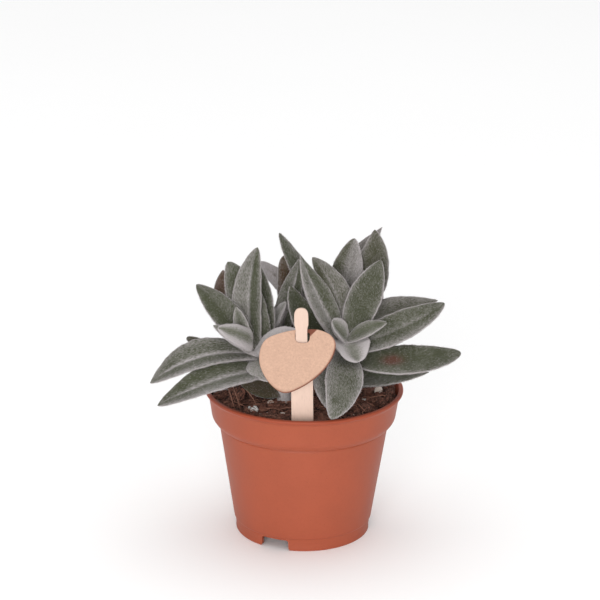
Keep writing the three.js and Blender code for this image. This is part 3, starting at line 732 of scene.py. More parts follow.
def spikes(roots, ways, lengths, radii):
    """Closed three-sided hairs: three points round each root, square to its way, and a tip."""
    helper = np.where(np.abs(ways[:, 2:]) < 0.9, [[0.0, 0.0, 1.0]], [[1.0, 0.0, 0.0]])
    side = unit(np.cross(helper, ways))
    ring = circle_in(side, np.cross(ways, side), 3)
    corners = roots[:, None] + ring * radii[:, None, None]
    tips = (roots + ways * lengths[:, None])[:, None]
    points = np.concatenate([corners, tips], axis=1).reshape(-1, 3)
    return points, repeated([np.array([[0, 1, 3], [1, 2, 3], [2, 0, 3], [0, 2, 1]])], len(roots), 4)


def hairs_on(rng, surface, share, turn, kind, length, radius):
    """Hairs on a surface at (share, turn): each way is the normal, plus lean along the blade,
    plus a random part of size spread. Gives roots, ways, lengths, radii and shades."""
    lean, spread, length_share, radius_share, low, high = HAIR_KINDS[kind]
    normal, along = surface_normals(surface, share, turn)
    roots = surface(share, turn) - normal * HAIR_SINK
    ways = unit(normal + along * lean + rng.normal(scale=spread, size=roots.shape))
    lengths = length * length_share * rng.uniform(0.5, 1.0, len(roots))
    radii = np.full(len(roots), radius * radius_share)
    return roots, ways, lengths, radii, rng.uniform(low, high, len(roots))


def build_hairs(name, shoot, settings):
    """Felt of one shoot: lying hairs on the blades, denser where the cover is, upright ones on
    the margins, and a short felt on the stem."""
    rng = np.random.default_rng(settings.seed + len(name))
    longest, radius = settings.hair_length / MM, settings.hair_radius / MM
    found = []
    for order, row in enumerate(shoot["leaves"]):
        place = leaf_frame(shoot, row)
        surface = partial(leaf_points, place, row)
        half = leaf_half_width(row, HAIR_PLACES)
        length = np.linalg.norm(place[2] - place[0])
        tries = int(4 * half.mean() * length * settings.blade_hairs * 1.5)
        share = np.interp(rng.random(tries), np.cumsum(half) / half.sum(), HAIR_PLACES)
        turn = rng.uniform(0, FULL_TURN, tries)
        cover = leaf_looks(row, share, turn, order)[0]
        keep = rng.random(tries) < BARE_HAIRS + (1 - BARE_HAIRS) * np.clip(cover, 0, 1)
        size = 0.75 + 0.25 * (1 - row["young"])
        found.append(hairs_on(rng, surface, share[keep], turn[keep], "blade", longest * size, radius))
        count = int(2 * length * settings.margin_hairs * min(1.0, sum(row["margins"])))
        share = rng.uniform(0.04, 0.99, count)
        turn = np.pi * rng.integers(0, 2, count) + rng.normal(scale=0.3, size=count)
        found.append(hairs_on(rng, surface, share, turn, "margin", longest, radius))
    share, turn = (rng.uniform(0, end, STEM["hairs"]) for end in (1, FULL_TURN))
    found.append(hairs_on(rng, partial(stem_points, shoot), share, turn, "stem", longest, radius))
    *hairs, shades = (np.concatenate(part) for part in zip(*found))
    points, faces = spikes(*hairs)
    return new_piece(name, points, faces, {"shade": np.repeat(shades, 4)}, soft=False)


# ---- Pot and soil


def build_pot(settings):
    """The rounded profile turned about Z, less the notches in the foot and the drain holes."""
    radius, height = rounded(POT_PROFILE, ROUNDING_STEPS)[::-1].T[..., None]
    turn = even_turns(settings.sides)
    rings = np.stack([radius * np.cos(turn), radius * np.sin(turn), height + 0 * turn], axis=-1)
    points = np.vstack([rings.reshape(-1, 3), [0, 0, BASE_UNDERSIDE], [0, 0, BASE_TOP]])
    shell = new_mesh("pot_shell", points, tube_faces(*rings.shape[:2]))
    cutter = new_mesh("pot_cutter", *joined([*notch_prisms(), *drain_prisms()]))
    return finish_piece("pot_shell", cut(shell, cutter))


def notch_prisms():
    """Blocks with rounded upper corners, pointing out from the axis, at even turns."""
    half, high, corner = NOTCH["wide"] / 2, NOTCH["high"], NOTCH["corner"]
    arc = np.linspace(0, 1, NOTCH["steps"])
    right = bezier((half, high - corner), (half, high), (half - corner, high), arc)
    left = bezier((corner - half, high), (-half, high), (-half, high - corner), arc)
    foot = bezier((half + corner, 0), (half, 0), (half, corner), arc)
    outline = np.vstack([[(-half - corner, -1), (half + corner, -1)], foot, right, left,
                         (foot * [-1, 1])[::-1]])
    reach = NOTCH["deep"] / 2
    points, faces = prism(outline, NOTCH["at"] - reach, NOTCH["at"] + reach)
    for i in range(NOTCH["count"]):
        turn = NOTCH["first"] + i * 360 / NOTCH["count"]
        yield points[:, [2, 0, 1]] @ turned(2, turn).T, faces


def drain_prisms():
    """Round blocks through the base plate: one in the middle and a ring round it."""
    circle = around(even_turns(DRAIN["sides"], 0.5))
    low, high = BASE_UNDERSIDE - DRAIN["spare"], BASE_TOP + DRAIN["spare"]
    yield prism(circle * DRAIN["middle"], low, high)
    for place in around(even_turns(DRAIN["count"])):
        yield prism(circle * DRAIN["radius"] + DRAIN["ring"] * place, low, high)


def cut(mesh, cutter):
    """The mesh less the cutter, by an exact Boolean modifier on a passing object."""
    body = bpy.data.objects.new("passing_body", mesh)
    tool = bpy.data.objects.new("passing_tool", cutter)
    for thing in (body, tool):
        bpy.context.scene.collection.objects.link(thing)
    step = body.modifiers.new("cut", "BOOLEAN")
    step.operation, step.object, step.solver = "DIFFERENCE", tool, "EXACT"
    seen = body.evaluated_get(bpy.context.evaluated_depsgraph_get())
    made = bpy.data.meshes.new_from_object(seen)
    for thing in (body, tool):
        bpy.data.objects.remove(thing)
    for old in (mesh, cutter):
        bpy.data.meshes.remove(old)
    return made


def scattered(rng, count, reach):
    """Random places in a disc."""
    distance, place = reach * np.sqrt(rng.random(count)), rng.uniform(0, FULL_TURN, count)
    return distance[:, None] * around(place)


def soil_height(settings, places):
    """Height of the soil at places (..., 2), and how deep each lies between the clods. A slow dome
    from SOIL_EDGE_Z to SOIL_MIDDLE_Z, with a dip before the stick, carries the highest of the
    clods' own domes, and waves of a few sizes."""
    flat = places.reshape(-1, 2)
    share = np.minimum(np.linalg.norm(flat, axis=-1) / SOIL_FLAT_RADIUS, 1)
    slow = SOIL_MIDDLE_Z + (SOIL_EDGE_Z - SOIL_MIDDLE_Z) * share**3
    dip = np.exp(-((flat[:, 0] - SOIL_DIP["x"]) / SOIL_DIP["wide"]) ** 4) \
        * smooth(flat[:, 1], SOIL_DIP["from"], SOIL_DIP["to"])
    slow = slow - SOIL_DIP["deep"] * dip
    rng = np.random.default_rng(settings.seed)
    middle = scattered(rng, settings.clods, CLOD_REACH)
    radius, height = (rng.uniform(low, high, settings.clods) for low, high in CLOD_SIZES)
    best = np.zeros(len(flat))
    for part in np.array_split(np.arange(len(middle)), 12):
        gap = np.linalg.norm(flat[:, None] - middle[part][None], axis=-1) / radius[part][None]
        dome = np.sqrt(np.maximum(1 - gap**2, 0)) * (radius * height)[part][None]
        best = np.maximum(best, dome.max(axis=1))
    rng = np.random.default_rng(settings.seed + 1)
    rough = sum(high * waves(rng, flat, size, count) for high, size, count in SOIL_WAVES)
    total = slow - SOIL_SINK + np.minimum(best, CLOD_HIGHEST) * CLOD_SHARE \
        + rough * np.minimum(1, (1.02 - share) * 12)
    return total.reshape(places.shape[:-1]), (best / CLOD_HIGHEST).reshape(places.shape[:-1])


def build_soil(settings):
    """One closed skin: up the pot's inside from the base plate, then in over the lumpy top."""
    rows, below = SOIL_GRID["rows"], len(SOIL_SIDE)
    side = np.array(SOIL_SIDE)
    radii = np.r_[side[:, 0], SOIL_RADIUS * (1 - np.arange(rows) / rows) ** 0.9]
    places = radii[:, None, None] * around(even_turns(SOIL_GRID["sides"]))
    height, relief = soil_height(settings, places)
    height[:below] = side[:, 1:]
    rings = np.concatenate([places, height[..., None]], axis=-1)
    # relief: how high each point lies on the clods, which the peat uses for painted shade between them
    return new_piece("soil_bed", with_poles(rings), tube_faces(*height.shape),
                     {"relief": with_ends(relief)})


def lumps(rng, middles, sizes, squash=0.7, jitter=0.22):
    """Closed lumps of 20 faces: a 12-cornered ball with each corner moved at random, squashed in
    height and turned about Z."""
    golden = (1 + math.sqrt(5)) / 2
    ball = unit(np.array([
        (-1, golden, 0), (1, golden, 0), (-1, -golden, 0), (1, -golden, 0), (0, -1, golden),
        (0, 1, golden), (0, -1, -golden), (0, 1, -golden), (golden, 0, -1), (golden, 0, 1),
        (-golden, 0, -1), (-golden, 0, 1)]))
    faces = np.array([
        (0, 11, 5), (0, 5, 1), (0, 1, 7), (0, 7, 10), (0, 10, 11), (1, 5, 9), (5, 11, 4),
        (11, 10, 2), (10, 7, 6), (7, 1, 8), (3, 9, 4), (3, 4, 2), (3, 2, 6), (3, 6, 8), (3, 8, 9),
        (4, 9, 5), (2, 4, 11), (6, 2, 10), (8, 6, 7), (9, 8, 1)])
    count = len(middles)
    shape = ball[None] * (1 + rng.uniform(-jitter, jitter, (count, 12, 1)))
    shape = shape * np.stack([rng.uniform(0.7, 1.3, count), rng.uniform(0.7, 1.3, count),
                              squash * rng.uniform(0.7, 1.2, count)], axis=-1)[:, None]
    turn = rng.uniform(0, FULL_TURN, count)[:, None]
    (x, y, z), c, s = np.moveaxis(shape, -1, 0), np.cos(turn), np.sin(turn)
    shape = np.stack([x * c - y * s, x * s + y * c, z], axis=-1)
    points = (middles[:, None] + shape * sizes[:, None, None]).reshape(-1, 3)
    return points, repeated([faces], count, 12)


def on_soil(settings, places, lift):
    """Places (n, 2) with the soil's height and a lift."""
    return np.column_stack([places, soil_height(settings, places)[0] + lift])


def ball(rng, rows, cols, rough, size):
    """A closed ball of radius 1 with waves of that size in its radius, rough times as high."""
    fall = np.linspace(0.12, np.pi - 0.12, rows)[::-1, None]
    turn = even_turns(cols)[None, :]
    skin = np.stack([np.sin(fall) * np.cos(turn), np.sin(fall) * np.sin(turn),
                     np.cos(fall) + 0 * turn], axis=-1)
    height = rough * (waves(rng, skin, size, 8) + 0.5 * waves(rng, skin, size / 4, 12))
    return with_poles(skin * (1 + height[..., None])), tube_faces(rows, cols)


def build_crumbs(settings):
    """Loose crumbs of peat, half sunk in the soil, and a few large clumps."""
    rng = np.random.default_rng(settings.seed + 2)
    sizes = rng.uniform(*CRUMB_SIZES, settings.crumbs) ** 1.6
    places = scattered(rng, settings.crumbs, SOIL_FLAT_RADIUS)
    shapes = [lumps(rng, on_soil(settings, places, sizes * CRUMB_LIFT), sizes)]
    relief = [np.repeat(rng.uniform(0.15, 1.3, settings.crumbs), 12)]
    for x, y, size in CLUMPS:
        points, faces = ball(rng, *CLUMP_BALL)
        height = min(on_soil(settings, np.array([[x, y]]), 0)[0, 2], CLUMP_HIGHEST_Z)
        shapes.append((points * size + [x, y, height + size * CLUMP_LIFT], faces))
        relief.append(0.45 + 0.5 * waves(rng, points, 0.3, 16))
    return new_piece("peat_crumbs", *joined(shapes), {"relief": np.concatenate(relief)})


def build_fibres(settings):
    """Thin bent fibres: a four-sided tube carried along a path that turns slowly and arches off
    the soil in its middle. The first ones are those of LONG_FIBRES."""
    rng = np.random.default_rng(settings.seed + 3)
    count, steps, sides = settings.fibres, FIBRE["steps"], FIBRE["sides"]
    share = np.linspace(0, 1, steps)[None, :]
    length = rng.uniform(*FIBRE["length"], (count, 1))
    heading = rng.uniform(0, FULL_TURN, (count, 1)) \
        + rng.normal(scale=FIBRE["bend"], size=(count, 1)) * share \
        + 0.5 * np.sin(share * rng.uniform(2, 7, (count, 1)) + rng.uniform(0, 6, (count, 1)))
    start = scattered(rng, count, FIBRE["reach"])
    chosen = np.array(LONG_FIBRES)
    first = slice(0, len(chosen))
    start[first], length[first] = chosen[:, :2], chosen[:, 4:5]
    heading[first] = np.radians(chosen[:, 2:3] + chosen[:, 3:4] * share)
    step = (length / steps)[..., None]
    places = start[:, None] + np.cumsum(around(heading) * step, axis=1)
    far = np.linalg.norm(places, axis=-1, keepdims=True)
    places = places * np.minimum(1, FIBRE["edge"] / far)
    arch = np.sin(np.pi * share)
    lift = rng.uniform(*FIBRE["lift"], (count, 1)) + rng.uniform(*FIBRE["arch"], (count, 1)) * arch
    lift[first] = FIBRE["long_lift"] + chosen[:, 5:6] * arch ** 0.7
    height = soil_height(settings, places)[0]
    height = height * 0.4 + height.mean(axis=1, keepdims=True) * 0.6 + lift
    path = np.concatenate([places, height[..., None]], axis=-1)
    side = np.stack([-np.sin(heading), np.cos(heading), heading * 0], axis=-1)
    thinned = 1 - 0.6 * np.abs(share * 2 - 1) ** 3
    radius = rng.uniform(*FIBRE["radius"], (count, 1)) * thinned
    radius[first] = FIBRE["long_radius"] * thinned
    ring = circle_in(side, np.array([0, 0, 1.0]), sides)
    rings = (path[:, :, None] + ring * radius[..., None, None]).reshape(count, -1, 3)
    points = np.concatenate([rings, path[:, :1], path[:, -1:]], axis=1)
    tone = rng.uniform(0, 1, count)
    tone[first] = FIBRE["long_tone"]
    each = points.shape[1]
    return new_piece("peat_fibres", points.reshape(-1, 3),
                     repeated(tube_faces(steps, sides), count, each), {"shade": np.repeat(tone, each)})


def build_grains(settings):
    """White grains in small heaps and scattered."""
    rng = np.random.default_rng(settings.seed + 4)
    heaps = [np.array(place) + rng.normal(scale=reach / 2, size=(count, 2))
             for place, reach, count in GRAIN_HEAPS]
    places = np.vstack([*heaps, scattered(rng, settings.grains, GRAIN_REACH)])
    sizes = np.r_[rng.uniform(*HEAP_SIZES, len(places) - settings.grains),
                  rng.uniform(*GRAIN_SIZES, settings.grains)]
    middles = on_soil(settings, places, sizes * CRUMB_LIFT)
    points, faces = lumps(rng, middles, sizes, squash=0.9, jitter=0.3)
    shades = np.repeat(rng.uniform(0.6, 1, len(places)), 12)
    return new_piece("soil_grains", points, faces, {"shade": shades})


def build_stones(settings):
    """A few pale stones: balls with waves in their radius."""
    rng = np.random.default_rng(settings.seed + 5)
    shapes = []
    for x, y, size, across in STONES:
        points, faces = ball(rng, *STONE_BALL)
        middle = on_soil(settings, np.array([[x, y]]), size * STONE_LIFT)
        shapes.append((points * [across * size, size, size * 1.1] + middle, faces))
    points, faces = joined(shapes)
    return new_piece("soil_stones", points, faces, {"shade": np.zeros(len(points))})


# ---- Label


def on_stick(points):
    """Puts points drawn upright (x across, y towards the viewer, z up the stick) in their place:
    leaned left about Y, then back about X."""
    leaned = turned(0, -STICK["lean_back"]) @ turned(1, -STICK["lean_left"])
    return points @ leaned.T + [STICK["x"], STICK["y"], STICK["z"]]


def build_stick():
    """A section with rounded corners, carried up the stick: half width by height from
    STICK_CURVES, half thickness even."""
    share = np.linspace(0, 1, STICK["curve_steps"])
    outline = np.vstack([bezier(*curve, share)[:-1] for curve in STICK_CURVES]
                        + [[STICK_CURVES[-1][-1]]])
    outline = outline[np.r_[True, np.diff(outline[:, 1]) > 1e-6]]
    half, height = outline[:, :1], outline[:, 1:]
    bevel = np.minimum(STICK["bevel"], half * 0.5)
    deep = STICK["thick"] / 2
    arc = np.linspace(0, np.pi / 2, STICK["corner_steps"])[None, :]
    x, y = [], []
    for right, front, start in ((1, -1, -np.pi / 2), (1, 1, 0), (-1, 1, np.pi / 2), (-1, -1, np.pi)):
        x.append(right * (half - bevel) + bevel * np.cos(arc + start))
        y.append(front * (deep - bevel) + bevel * np.sin(arc + start))
    x, y = np.concatenate(x, axis=1), np.concatenate(y, axis=1)
    rings = on_stick(np.stack([x, y, height + 0 * x], axis=-1))
    return new_piece("label_stick_wood", with_poles(rings), tube_faces(*x.shape))


def build_tag():
    """A flat ring between the slot and the outline, both given as a radius by angle round the
    slot's middle. The section runs out over the face, round the cut edge and back."""
    rows, middle = TAG["rows"], np.array(TAG_SLOT["middle"])
    turn = even_turns(TAG["cols"], 0.5) - np.pi
    curve = closed_spline(TAG_OUTLINE, TAG["curve_steps"]) - middle
    angle, far = np.arctan2(curve[:, 1], curve[:, 0]), np.linalg.norm(curve, axis=1)
    order = np.argsort(angle)
    outer = np.interp(turn, angle[order], far[order], period=FULL_TURN)
    power, way = TAG_SLOT["squareness"], around(turn)
    inner = sum(np.maximum(way @ edge / off, 0) ** power for edge, off in TAG_SLOT["edges"])
    inner = inner ** (-1 / power)
    bevel, deep = TAG["bevel"], TAG["thick"] / 2
    share = 1 - (1 - np.linspace(0, 1, rows)[:, None]) ** 2
    face = (inner + bevel) + (outer - inner - 2 * bevel) * share
    radius = np.vstack([inner[None], face, outer[None], outer[None], face[::-1], inner[None]])
    depth = np.r_[deep - bevel, np.full(rows, deep), deep - bevel]
    depth = np.r_[depth, -depth][:, None]
    x = middle[0] + radius * np.cos(turn)
    y = middle[1] + radius * np.sin(turn)
    start, end = np.array(TAG_FLAP["start"]), np.array(TAG_FLAP["end"])
    line = unit(end - start)
    beyond = np.maximum(line[0] * (y - start[1]) - line[1] * (x - start[0]), 0) * (x > 0) * (y > 0)
    bend = math.tan(math.radians(TAG_FLAP["bend"]))
    warp = TAG["warp"] * np.sin(x * 0.16 + 0.6) * np.cos(y * 0.13)
    z = depth - beyond * bend + warp * smooth(radius, 3.5, 9)
    lean = turned(0, STICK["lean_back"] - TAG["lean_back"])
    points = on_stick(np.stack([x, -z, y], axis=-1) @ lean.T + [0, 0, TAG["height"]])
    cut_edge = np.abs(depth) < deep
    # Dark band along the outline, strongest at the lower right: the cut's scorch, and painted shadow
    # under that edge
    lower_right = smooth(np.cos(turn + 1.05), 0.3, 0.8)
    burnt = smooth(outer - radius, TAG["scorch"], 0.1) * (0.1 + 0.9 * lower_right)
    # Cut edge colour: on the scorched cut edge, as painted shade on the bent-back flap, and on the band
    # of scorch and painted shadow
    edge = np.maximum(np.maximum(cut_edge, smooth(beyond, 0.0, 0.12)), burnt)
    return new_piece("label_tag_kraft", points.reshape(-1, 3), ring_faces(*x.shape),
                     {"edge": edge.reshape(-1)})


# ---- Meshes and pieces


def new_mesh(name, points, faces):
    """A mesh of points in millimetres and face arrays, each array of one corner count."""
    mesh = bpy.data.meshes.new(name)
    corners = np.concatenate([f.ravel() for f in faces]).astype(np.int32)
    counts = np.concatenate([np.full(len(f), f.shape[1]) for f in faces])
    starts = np.r_[0, np.cumsum(counts)[:-1]].astype(np.int32)
    mesh.vertices.add(len(points))
    mesh.vertices.foreach_set("co", (np.asarray(points) * MM).astype(np.float32).ravel())
    mesh.loops.add(len(corners))
    mesh.loops.foreach_set("vertex_index", corners)
    mesh.polygons.add(len(starts))
    mesh.polygons.foreach_set("loop_start", starts)
    mesh.update(calc_edges=True)
    if mesh.validate():
        raise RuntimeError(f"{name} has faulty faces")
    return mesh


def new_piece(name, points, faces, looks=None, soft=True):
    """An object of the mesh, with its values by point stored as attributes."""
    mesh = new_mesh(name, points, faces)
    for key, values in (looks or {}).items():
        kind, field = ("FLOAT_VECTOR", "vector") if values.ndim > 1 else ("FLOAT", "value")
        layer = mesh.attributes.new(key, kind, "POINT")
        layer.data.foreach_set(field, values.astype(np.float32).ravel())
    return finish_piece(name, mesh, soft)


def finish_piece(name, mesh, soft=True):
    """Shades a mesh smooth but for its sharp edges, and links its object to the scene."""
    mesh.name = name
    if soft:
        mesh.shade_smooth()
        mesh.set_sharp_from_angle(angle=math.radians(SHARP_ANGLE))
    piece = bpy.data.objects.new(name, mesh)
    bpy.context.scene.collection.objects.link(piece)
    return piece


def settle(piece, material, slot, *nodes):
    """Gives a piece its material and its body, and hides the nodes it stands for. slot: not used."""
    piece.data.materials.clear()
    piece.data.materials.append(material)
    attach(piece, BODY)
    if nodes:
        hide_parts(*nodes)


# ---- Materials


def shade(colour, factor):
    """A colour times a factor."""
    return tuple(min(1.0, c * factor) for c in colour[:3])


class Nodes:
    """Adds shader nodes to a tree and gives their outputs."""

    def __init__(self, tree):
        self.tree = tree

    def put(self, socket, value):
        """Links an input to a socket, or sets it to a value."""
        if isinstance(value, bpy.types.NodeSocket):
            self.tree.links.new(value, socket)
        else:
            socket.default_value = value

    def add(self, kind, inputs=None, **settings):
        """A new node with its settings and inputs."""
        node = self.tree.nodes.new("ShaderNode" + kind)
        for name, value in settings.items():
            setattr(node, name, value)
        for key, value in (inputs or {}).items():
            self.put(node.inputs[key], value)
        return node

    def mixed(self, factor, first, second):
        """Colour between first and second."""
        colours = [c if isinstance(c, bpy.types.NodeSocket) else (*c[:3], 1.0) for c in (first, second)]
        return self.add("Mix", {0: factor, 6: colours[0], 7: colours[1]}, data_type="RGBA").outputs[2]

    def varied(self, factor, colour, low, high):
        """Colour between two shades of one."""
        return self.mixed(factor, shade(colour, low), shade(colour, high))

    def ranged(self, value, low, high, to_low=0.0, to_high=1.0):
        """Value carried from one range to another, clamped."""
        return self.add("MapRange", {"Value": value, "From Min": low, "From Max": high,
                                     "To Min": to_low, "To Max": to_high}).outputs["Result"]

    def worked(self, operation, *values):
        """Result of a Math node."""
        return self.add("Math", dict(enumerate(values)), operation=operation).outputs[0]

    def contrasted(self, value, contrast):
        """Value from 0 to 1, its contrast raised round the middle."""
        centred = self.worked("SUBTRACT", value, 0.5)
        raised = self.worked("MULTIPLY_ADD", centred, contrast, 0.5)
        return self.add("Clamp", {"Value": raised}).outputs[0]


class Group(Nodes):
    """A node group with float inputs, a Vector input and a Value output."""

    def __init__(self, name, **inputs):
        super().__init__(bpy.data.node_groups.new(name, "ShaderNodeTree"))
        sockets = self.tree.interface
        sockets.new_socket("Vector", in_out="INPUT", socket_type="NodeSocketVector")
        for key, value in inputs.items():
            socket = sockets.new_socket(key, in_out="INPUT", socket_type="NodeSocketFloat")
            socket.default_value = value
        sockets.new_socket("Value", in_out="OUTPUT", socket_type="NodeSocketFloat")
        self.start = self.tree.nodes.new("NodeGroupInput").outputs

    def done(self, value):
        """Gives the tree, with the value as its output."""
        self.put(self.tree.nodes.new("NodeGroupOutput").inputs["Value"], value)
        return self.tree


def clouds_group():
    """Clouded value from 0 to 1: noise whose contrast is raised round its middle."""
    group = Group("clouds", Scale=100.0, Detail=4.0, Contrast=2.0)
    start = group.start
    noise = group.add("TexNoise", {"Vector": start["Vector"], "Scale": start["Scale"],
                                   "Detail": start["Detail"], "Roughness": 0.6})
    return group.done(group.contrasted(noise.outputs[0], start["Contrast"]))


def specks_group():
    """Small round specks: 1 where the nearest random point is closer than Size."""
    group = Group("specks", Scale=500.0, Size=0.2)
    start = group.start
    cells = group.add("TexVoronoi", {"Vector": start["Vector"], "Scale": start["Scale"],
                                     "Randomness": 1.0})
    soft = group.worked("MULTIPLY", start["Size"], 0.6)
    return group.done(group.ranged(cells.outputs["Distance"], start["Size"], soft))


def strands_group():
    """Streaks along the second axis of Vector: noise on a place that is squeezed along it."""
    group = Group("strands", Scale=1.0, Stretch=0.15, Contrast=2.0)
    start = group.start
    scale = group.add("CombineXYZ", {"X": 1.0, "Y": start["Stretch"], "Z": 1.0}).outputs[0]
    squeezed = group.add("VectorMath", {0: start["Vector"], 1: scale}, operation="MULTIPLY")
    noise = group.add("TexNoise", {"Vector": squeezed.outputs[0], "Scale": start["Scale"],
                                   "Detail": 3.0, "Roughness": 0.6, "Distortion": 0.12})
    return group.done(group.contrasted(noise.outputs[0], start["Contrast"]))


GROUPS = {"clouds": clouds_group, "specks": specks_group, "strands": strands_group}


class Paint(Nodes):
    """A material in the making: a Principled shader, the object's own coordinates as place, and
    base, the colour that layers are laid on."""

    def __init__(self, name):
        self.material = bpy.data.materials.new(name)
        self.material.use_nodes = True
        super().__init__(self.material.node_tree)
        shader = next(n for n in self.tree.nodes if n.type == "BSDF_PRINCIPLED")
        self.sockets = shader.inputs
        self.place = self.add("TexCoord").outputs["Object"]
        self.base = None

    def attribute(self, name, output="Fac"):
        """A value by point that the piece carries."""
        return self.add("Attribute", attribute_name=name).outputs[output]

    def height(self):
        """Height over the pot's foot, in metres."""
        return self.add("SeparateXYZ", {0: self.place}).outputs[2]

    def pattern(self, name, vector, **inputs):
        """Value of a shared node group, which is made at its first use."""
        tree = bpy.data.node_groups.get(name) or GROUPS[name]()
        values = {key.title(): value for key, value in inputs.items()}
        return self.add("Group", {"Vector": vector, **values}, node_tree=tree).outputs["Value"]

    def clouds(self, scale, detail, contrast):
        """Clouds over the piece."""
        return self.pattern("clouds", self.place, scale=scale, detail=detail, contrast=contrast)

    def specks(self, scale, size):
        """Specks over the piece."""
        return self.pattern("specks", self.place, scale=scale, size=size)

    def strands(self, vector, scale, stretch, contrast):
        """Streaks along the vector's second axis."""
        return self.pattern("strands", vector, scale=scale, stretch=stretch, contrast=contrast)

    def lay(self, mask, most, colour, low=0.0, high=1.0):
        """Lays a colour over the base, growing to most while the mask goes from low to high."""
        self.base = self.mixed(self.ranged(mask, low, high, 0.0, most), self.base, colour)

    def done(self, roughness, bump=None, **others):
        """Gives the material, with base, roughness, bump (height, strength and distance) and other
        inputs set, an underscore in whose names stands for a space."""
        self.put(self.sockets["Base Color"], self.base)
        self.put(self.sockets["Roughness"], roughness)
        if bump:
            normal = self.add("Bump", dict(zip(("Height", "Strength", "Distance"), bump)))
            self.put(self.sockets["Normal"], normal.outputs["Normal"])
        for name, value in others.items():
            self.put(self.sockets[name.replace("_", " ")], value)
        return self.material


def plastic_material(settings):
    """Moulded plastic: slow clouds in its colour, fine dark and pale specks, a faint satin, and painted
    shade on the rim's top.
    """
    paint, plastic = Paint("pot_plastic_moulded"), settings.plastic
    slow, fine = paint.clouds(70.0, 3.0, 1.6), paint.clouds(900.0, 3.0, 1.8)
    paint.base = paint.varied(slow, plastic, 0.93, 1.06)
    paint.lay(fine, 0.16, shade(plastic, 1.5))
    paint.lay(paint.specks(420.0, 0.12), 0.3, shade(plastic, 0.55))
    # Painted shade and translucency: a deeper, darker orange over the rim's top
    paint.lay(paint.height(), 0.85, RIM_COLOUR, *RIM_HEIGHTS)
    roughness = paint.ranged(slow, 0, 1, 0.46, 0.56)
    return paint.done(roughness, (fine, 0.12, 0.00006), Specular_IOR_Level=0.3)


def peat_material(settings):
    """Moist peat: painted shade between the clods, reddish brown on them, with fibres of both."""
    paint, peat = Paint("peat_moist"), settings.peat
    slow, fine = paint.clouds(260.0, 4.0, 2.4), paint.clouds(1400.0, 4.0, 2.6)
    paint.base = paint.varied(slow, peat, 0.6, 2.1)
    paint.lay(fine, 0.85, DRY_PEAT, 0.4, 0.9)
    # Painted shade: where relief is low, between the clods of the soil bed, the peat turns dark; on
    # crumbs and clumps relief is a random tone
    raised = paint.ranged(paint.attribute("relief"), 0.1, 0.8)
    paint.base = paint.mixed(raised, shade(peat, 0.22), paint.base)
    return paint.done(0.95, (fine, 0.9, 0.0006))


def fibre_material():
    """Dry root fibres, from dark red-brown to straw."""
    paint = Paint("peat_fibre")
    fine = paint.clouds(1500.0, 2.0, 2.0)
    tone = paint.worked("POWER", paint.attribute("shade"), 1.8)
    paint.base = paint.mixed(tone, *FIBRE_COLOURS)
    paint.lay(fine, 0.35, FIBRE_SPOTS)
    return paint.done(0.85, (fine, 0.4, 0.0001))


def grain_material():
    """White grains and pale stones, stained by the peat."""
    paint = Paint("soil_grit")
    stain = paint.clouds(700.0, 4.0, 2.6)
    paint.base = paint.mixed(paint.attribute("shade"), *GRIT_COLOURS)
    paint.lay(stain, 0.5, GRIT_STAIN, 0.5, 1.0)
    return paint.done(0.85, (stain, 0.5, 0.0002))


def felt_material(settings):
    """Felted leaf: green under pale hairs. The carried cover, partly painted sheen, streaks that run
    from the fold line out to the margins, and slow clouds say how much of the hair's colour shows."""
    paint = Paint("leaf_felt")
    parts = paint.add("SeparateXYZ", {0: paint.attribute("grain", "Vector")}).outputs
    slanted = paint.worked("SUBTRACT", parts[1], paint.worked("ABSOLUTE", parts[0]))
    along = paint.add("CombineXYZ", {0: parts[0], 1: slanted, 2: parts[2]}).outputs[0]
    fine, broad = paint.strands(along, 2.7, 0.28, 4.5), paint.strands(along, 0.8, 0.4, 2.2)
    slow, tips = paint.clouds(110.0, 3.0, 2.4), paint.specks(1300.0, 0.22)
    young, shown = paint.attribute("young"), paint.attribute("cover")
    amount = paint.ranged(shown, 0.0, 0.5, 0.22, 0.48)
    half = paint.worked("MULTIPLY", amount, 0.5)
    for value, share in ((fine, amount), (broad, half), (slow, 0.14)):
        shown = paint.worked("MULTIPLY_ADD", paint.worked("SUBTRACT", value, 0.5), share, shown)
    shown = paint.ranged(paint.worked("MULTIPLY_ADD", tips, 0.09, shown), 0.03, 0.93)
    flesh = paint.mixed(young, paint.varied(slow, settings.green, 0.88, 1.12), YOUNG_FLESH)
    stain = paint.worked("MULTIPLY", paint.attribute("brown"), paint.ranged(broad, 0.0, 0.7, 0.5, 1.0))
    flesh = paint.mixed(stain, flesh, BROWN_FLESH)
    felt = paint.varied(young, settings.hair, 1.0, 1.22)
    paint.base = paint.mixed(shown, flesh, felt)
    return paint.done(0.9, (fine, 0.4, 0.00025), Specular_IOR_Level=0.2, Sheen_Weight=0.3,
                      Sheen_Roughness=0.4, Sheen_Tint=SHEEN_TINT)


def hair_material(settings):
    """Single hairs: pale, a little different from one to the next."""
    paint = Paint("leaf_hair")
    own = paint.worked("MULTIPLY", paint.attribute("shade"), 0.6)
    tone = paint.worked("MULTIPLY_ADD", paint.clouds(300.0, 2.0, 2.0), 0.4, own)
    paint.base = paint.varied(tone, settings.hair, 0.9, 2.2)
    return paint.done(0.6, Specular_IOR_Level=0.3)


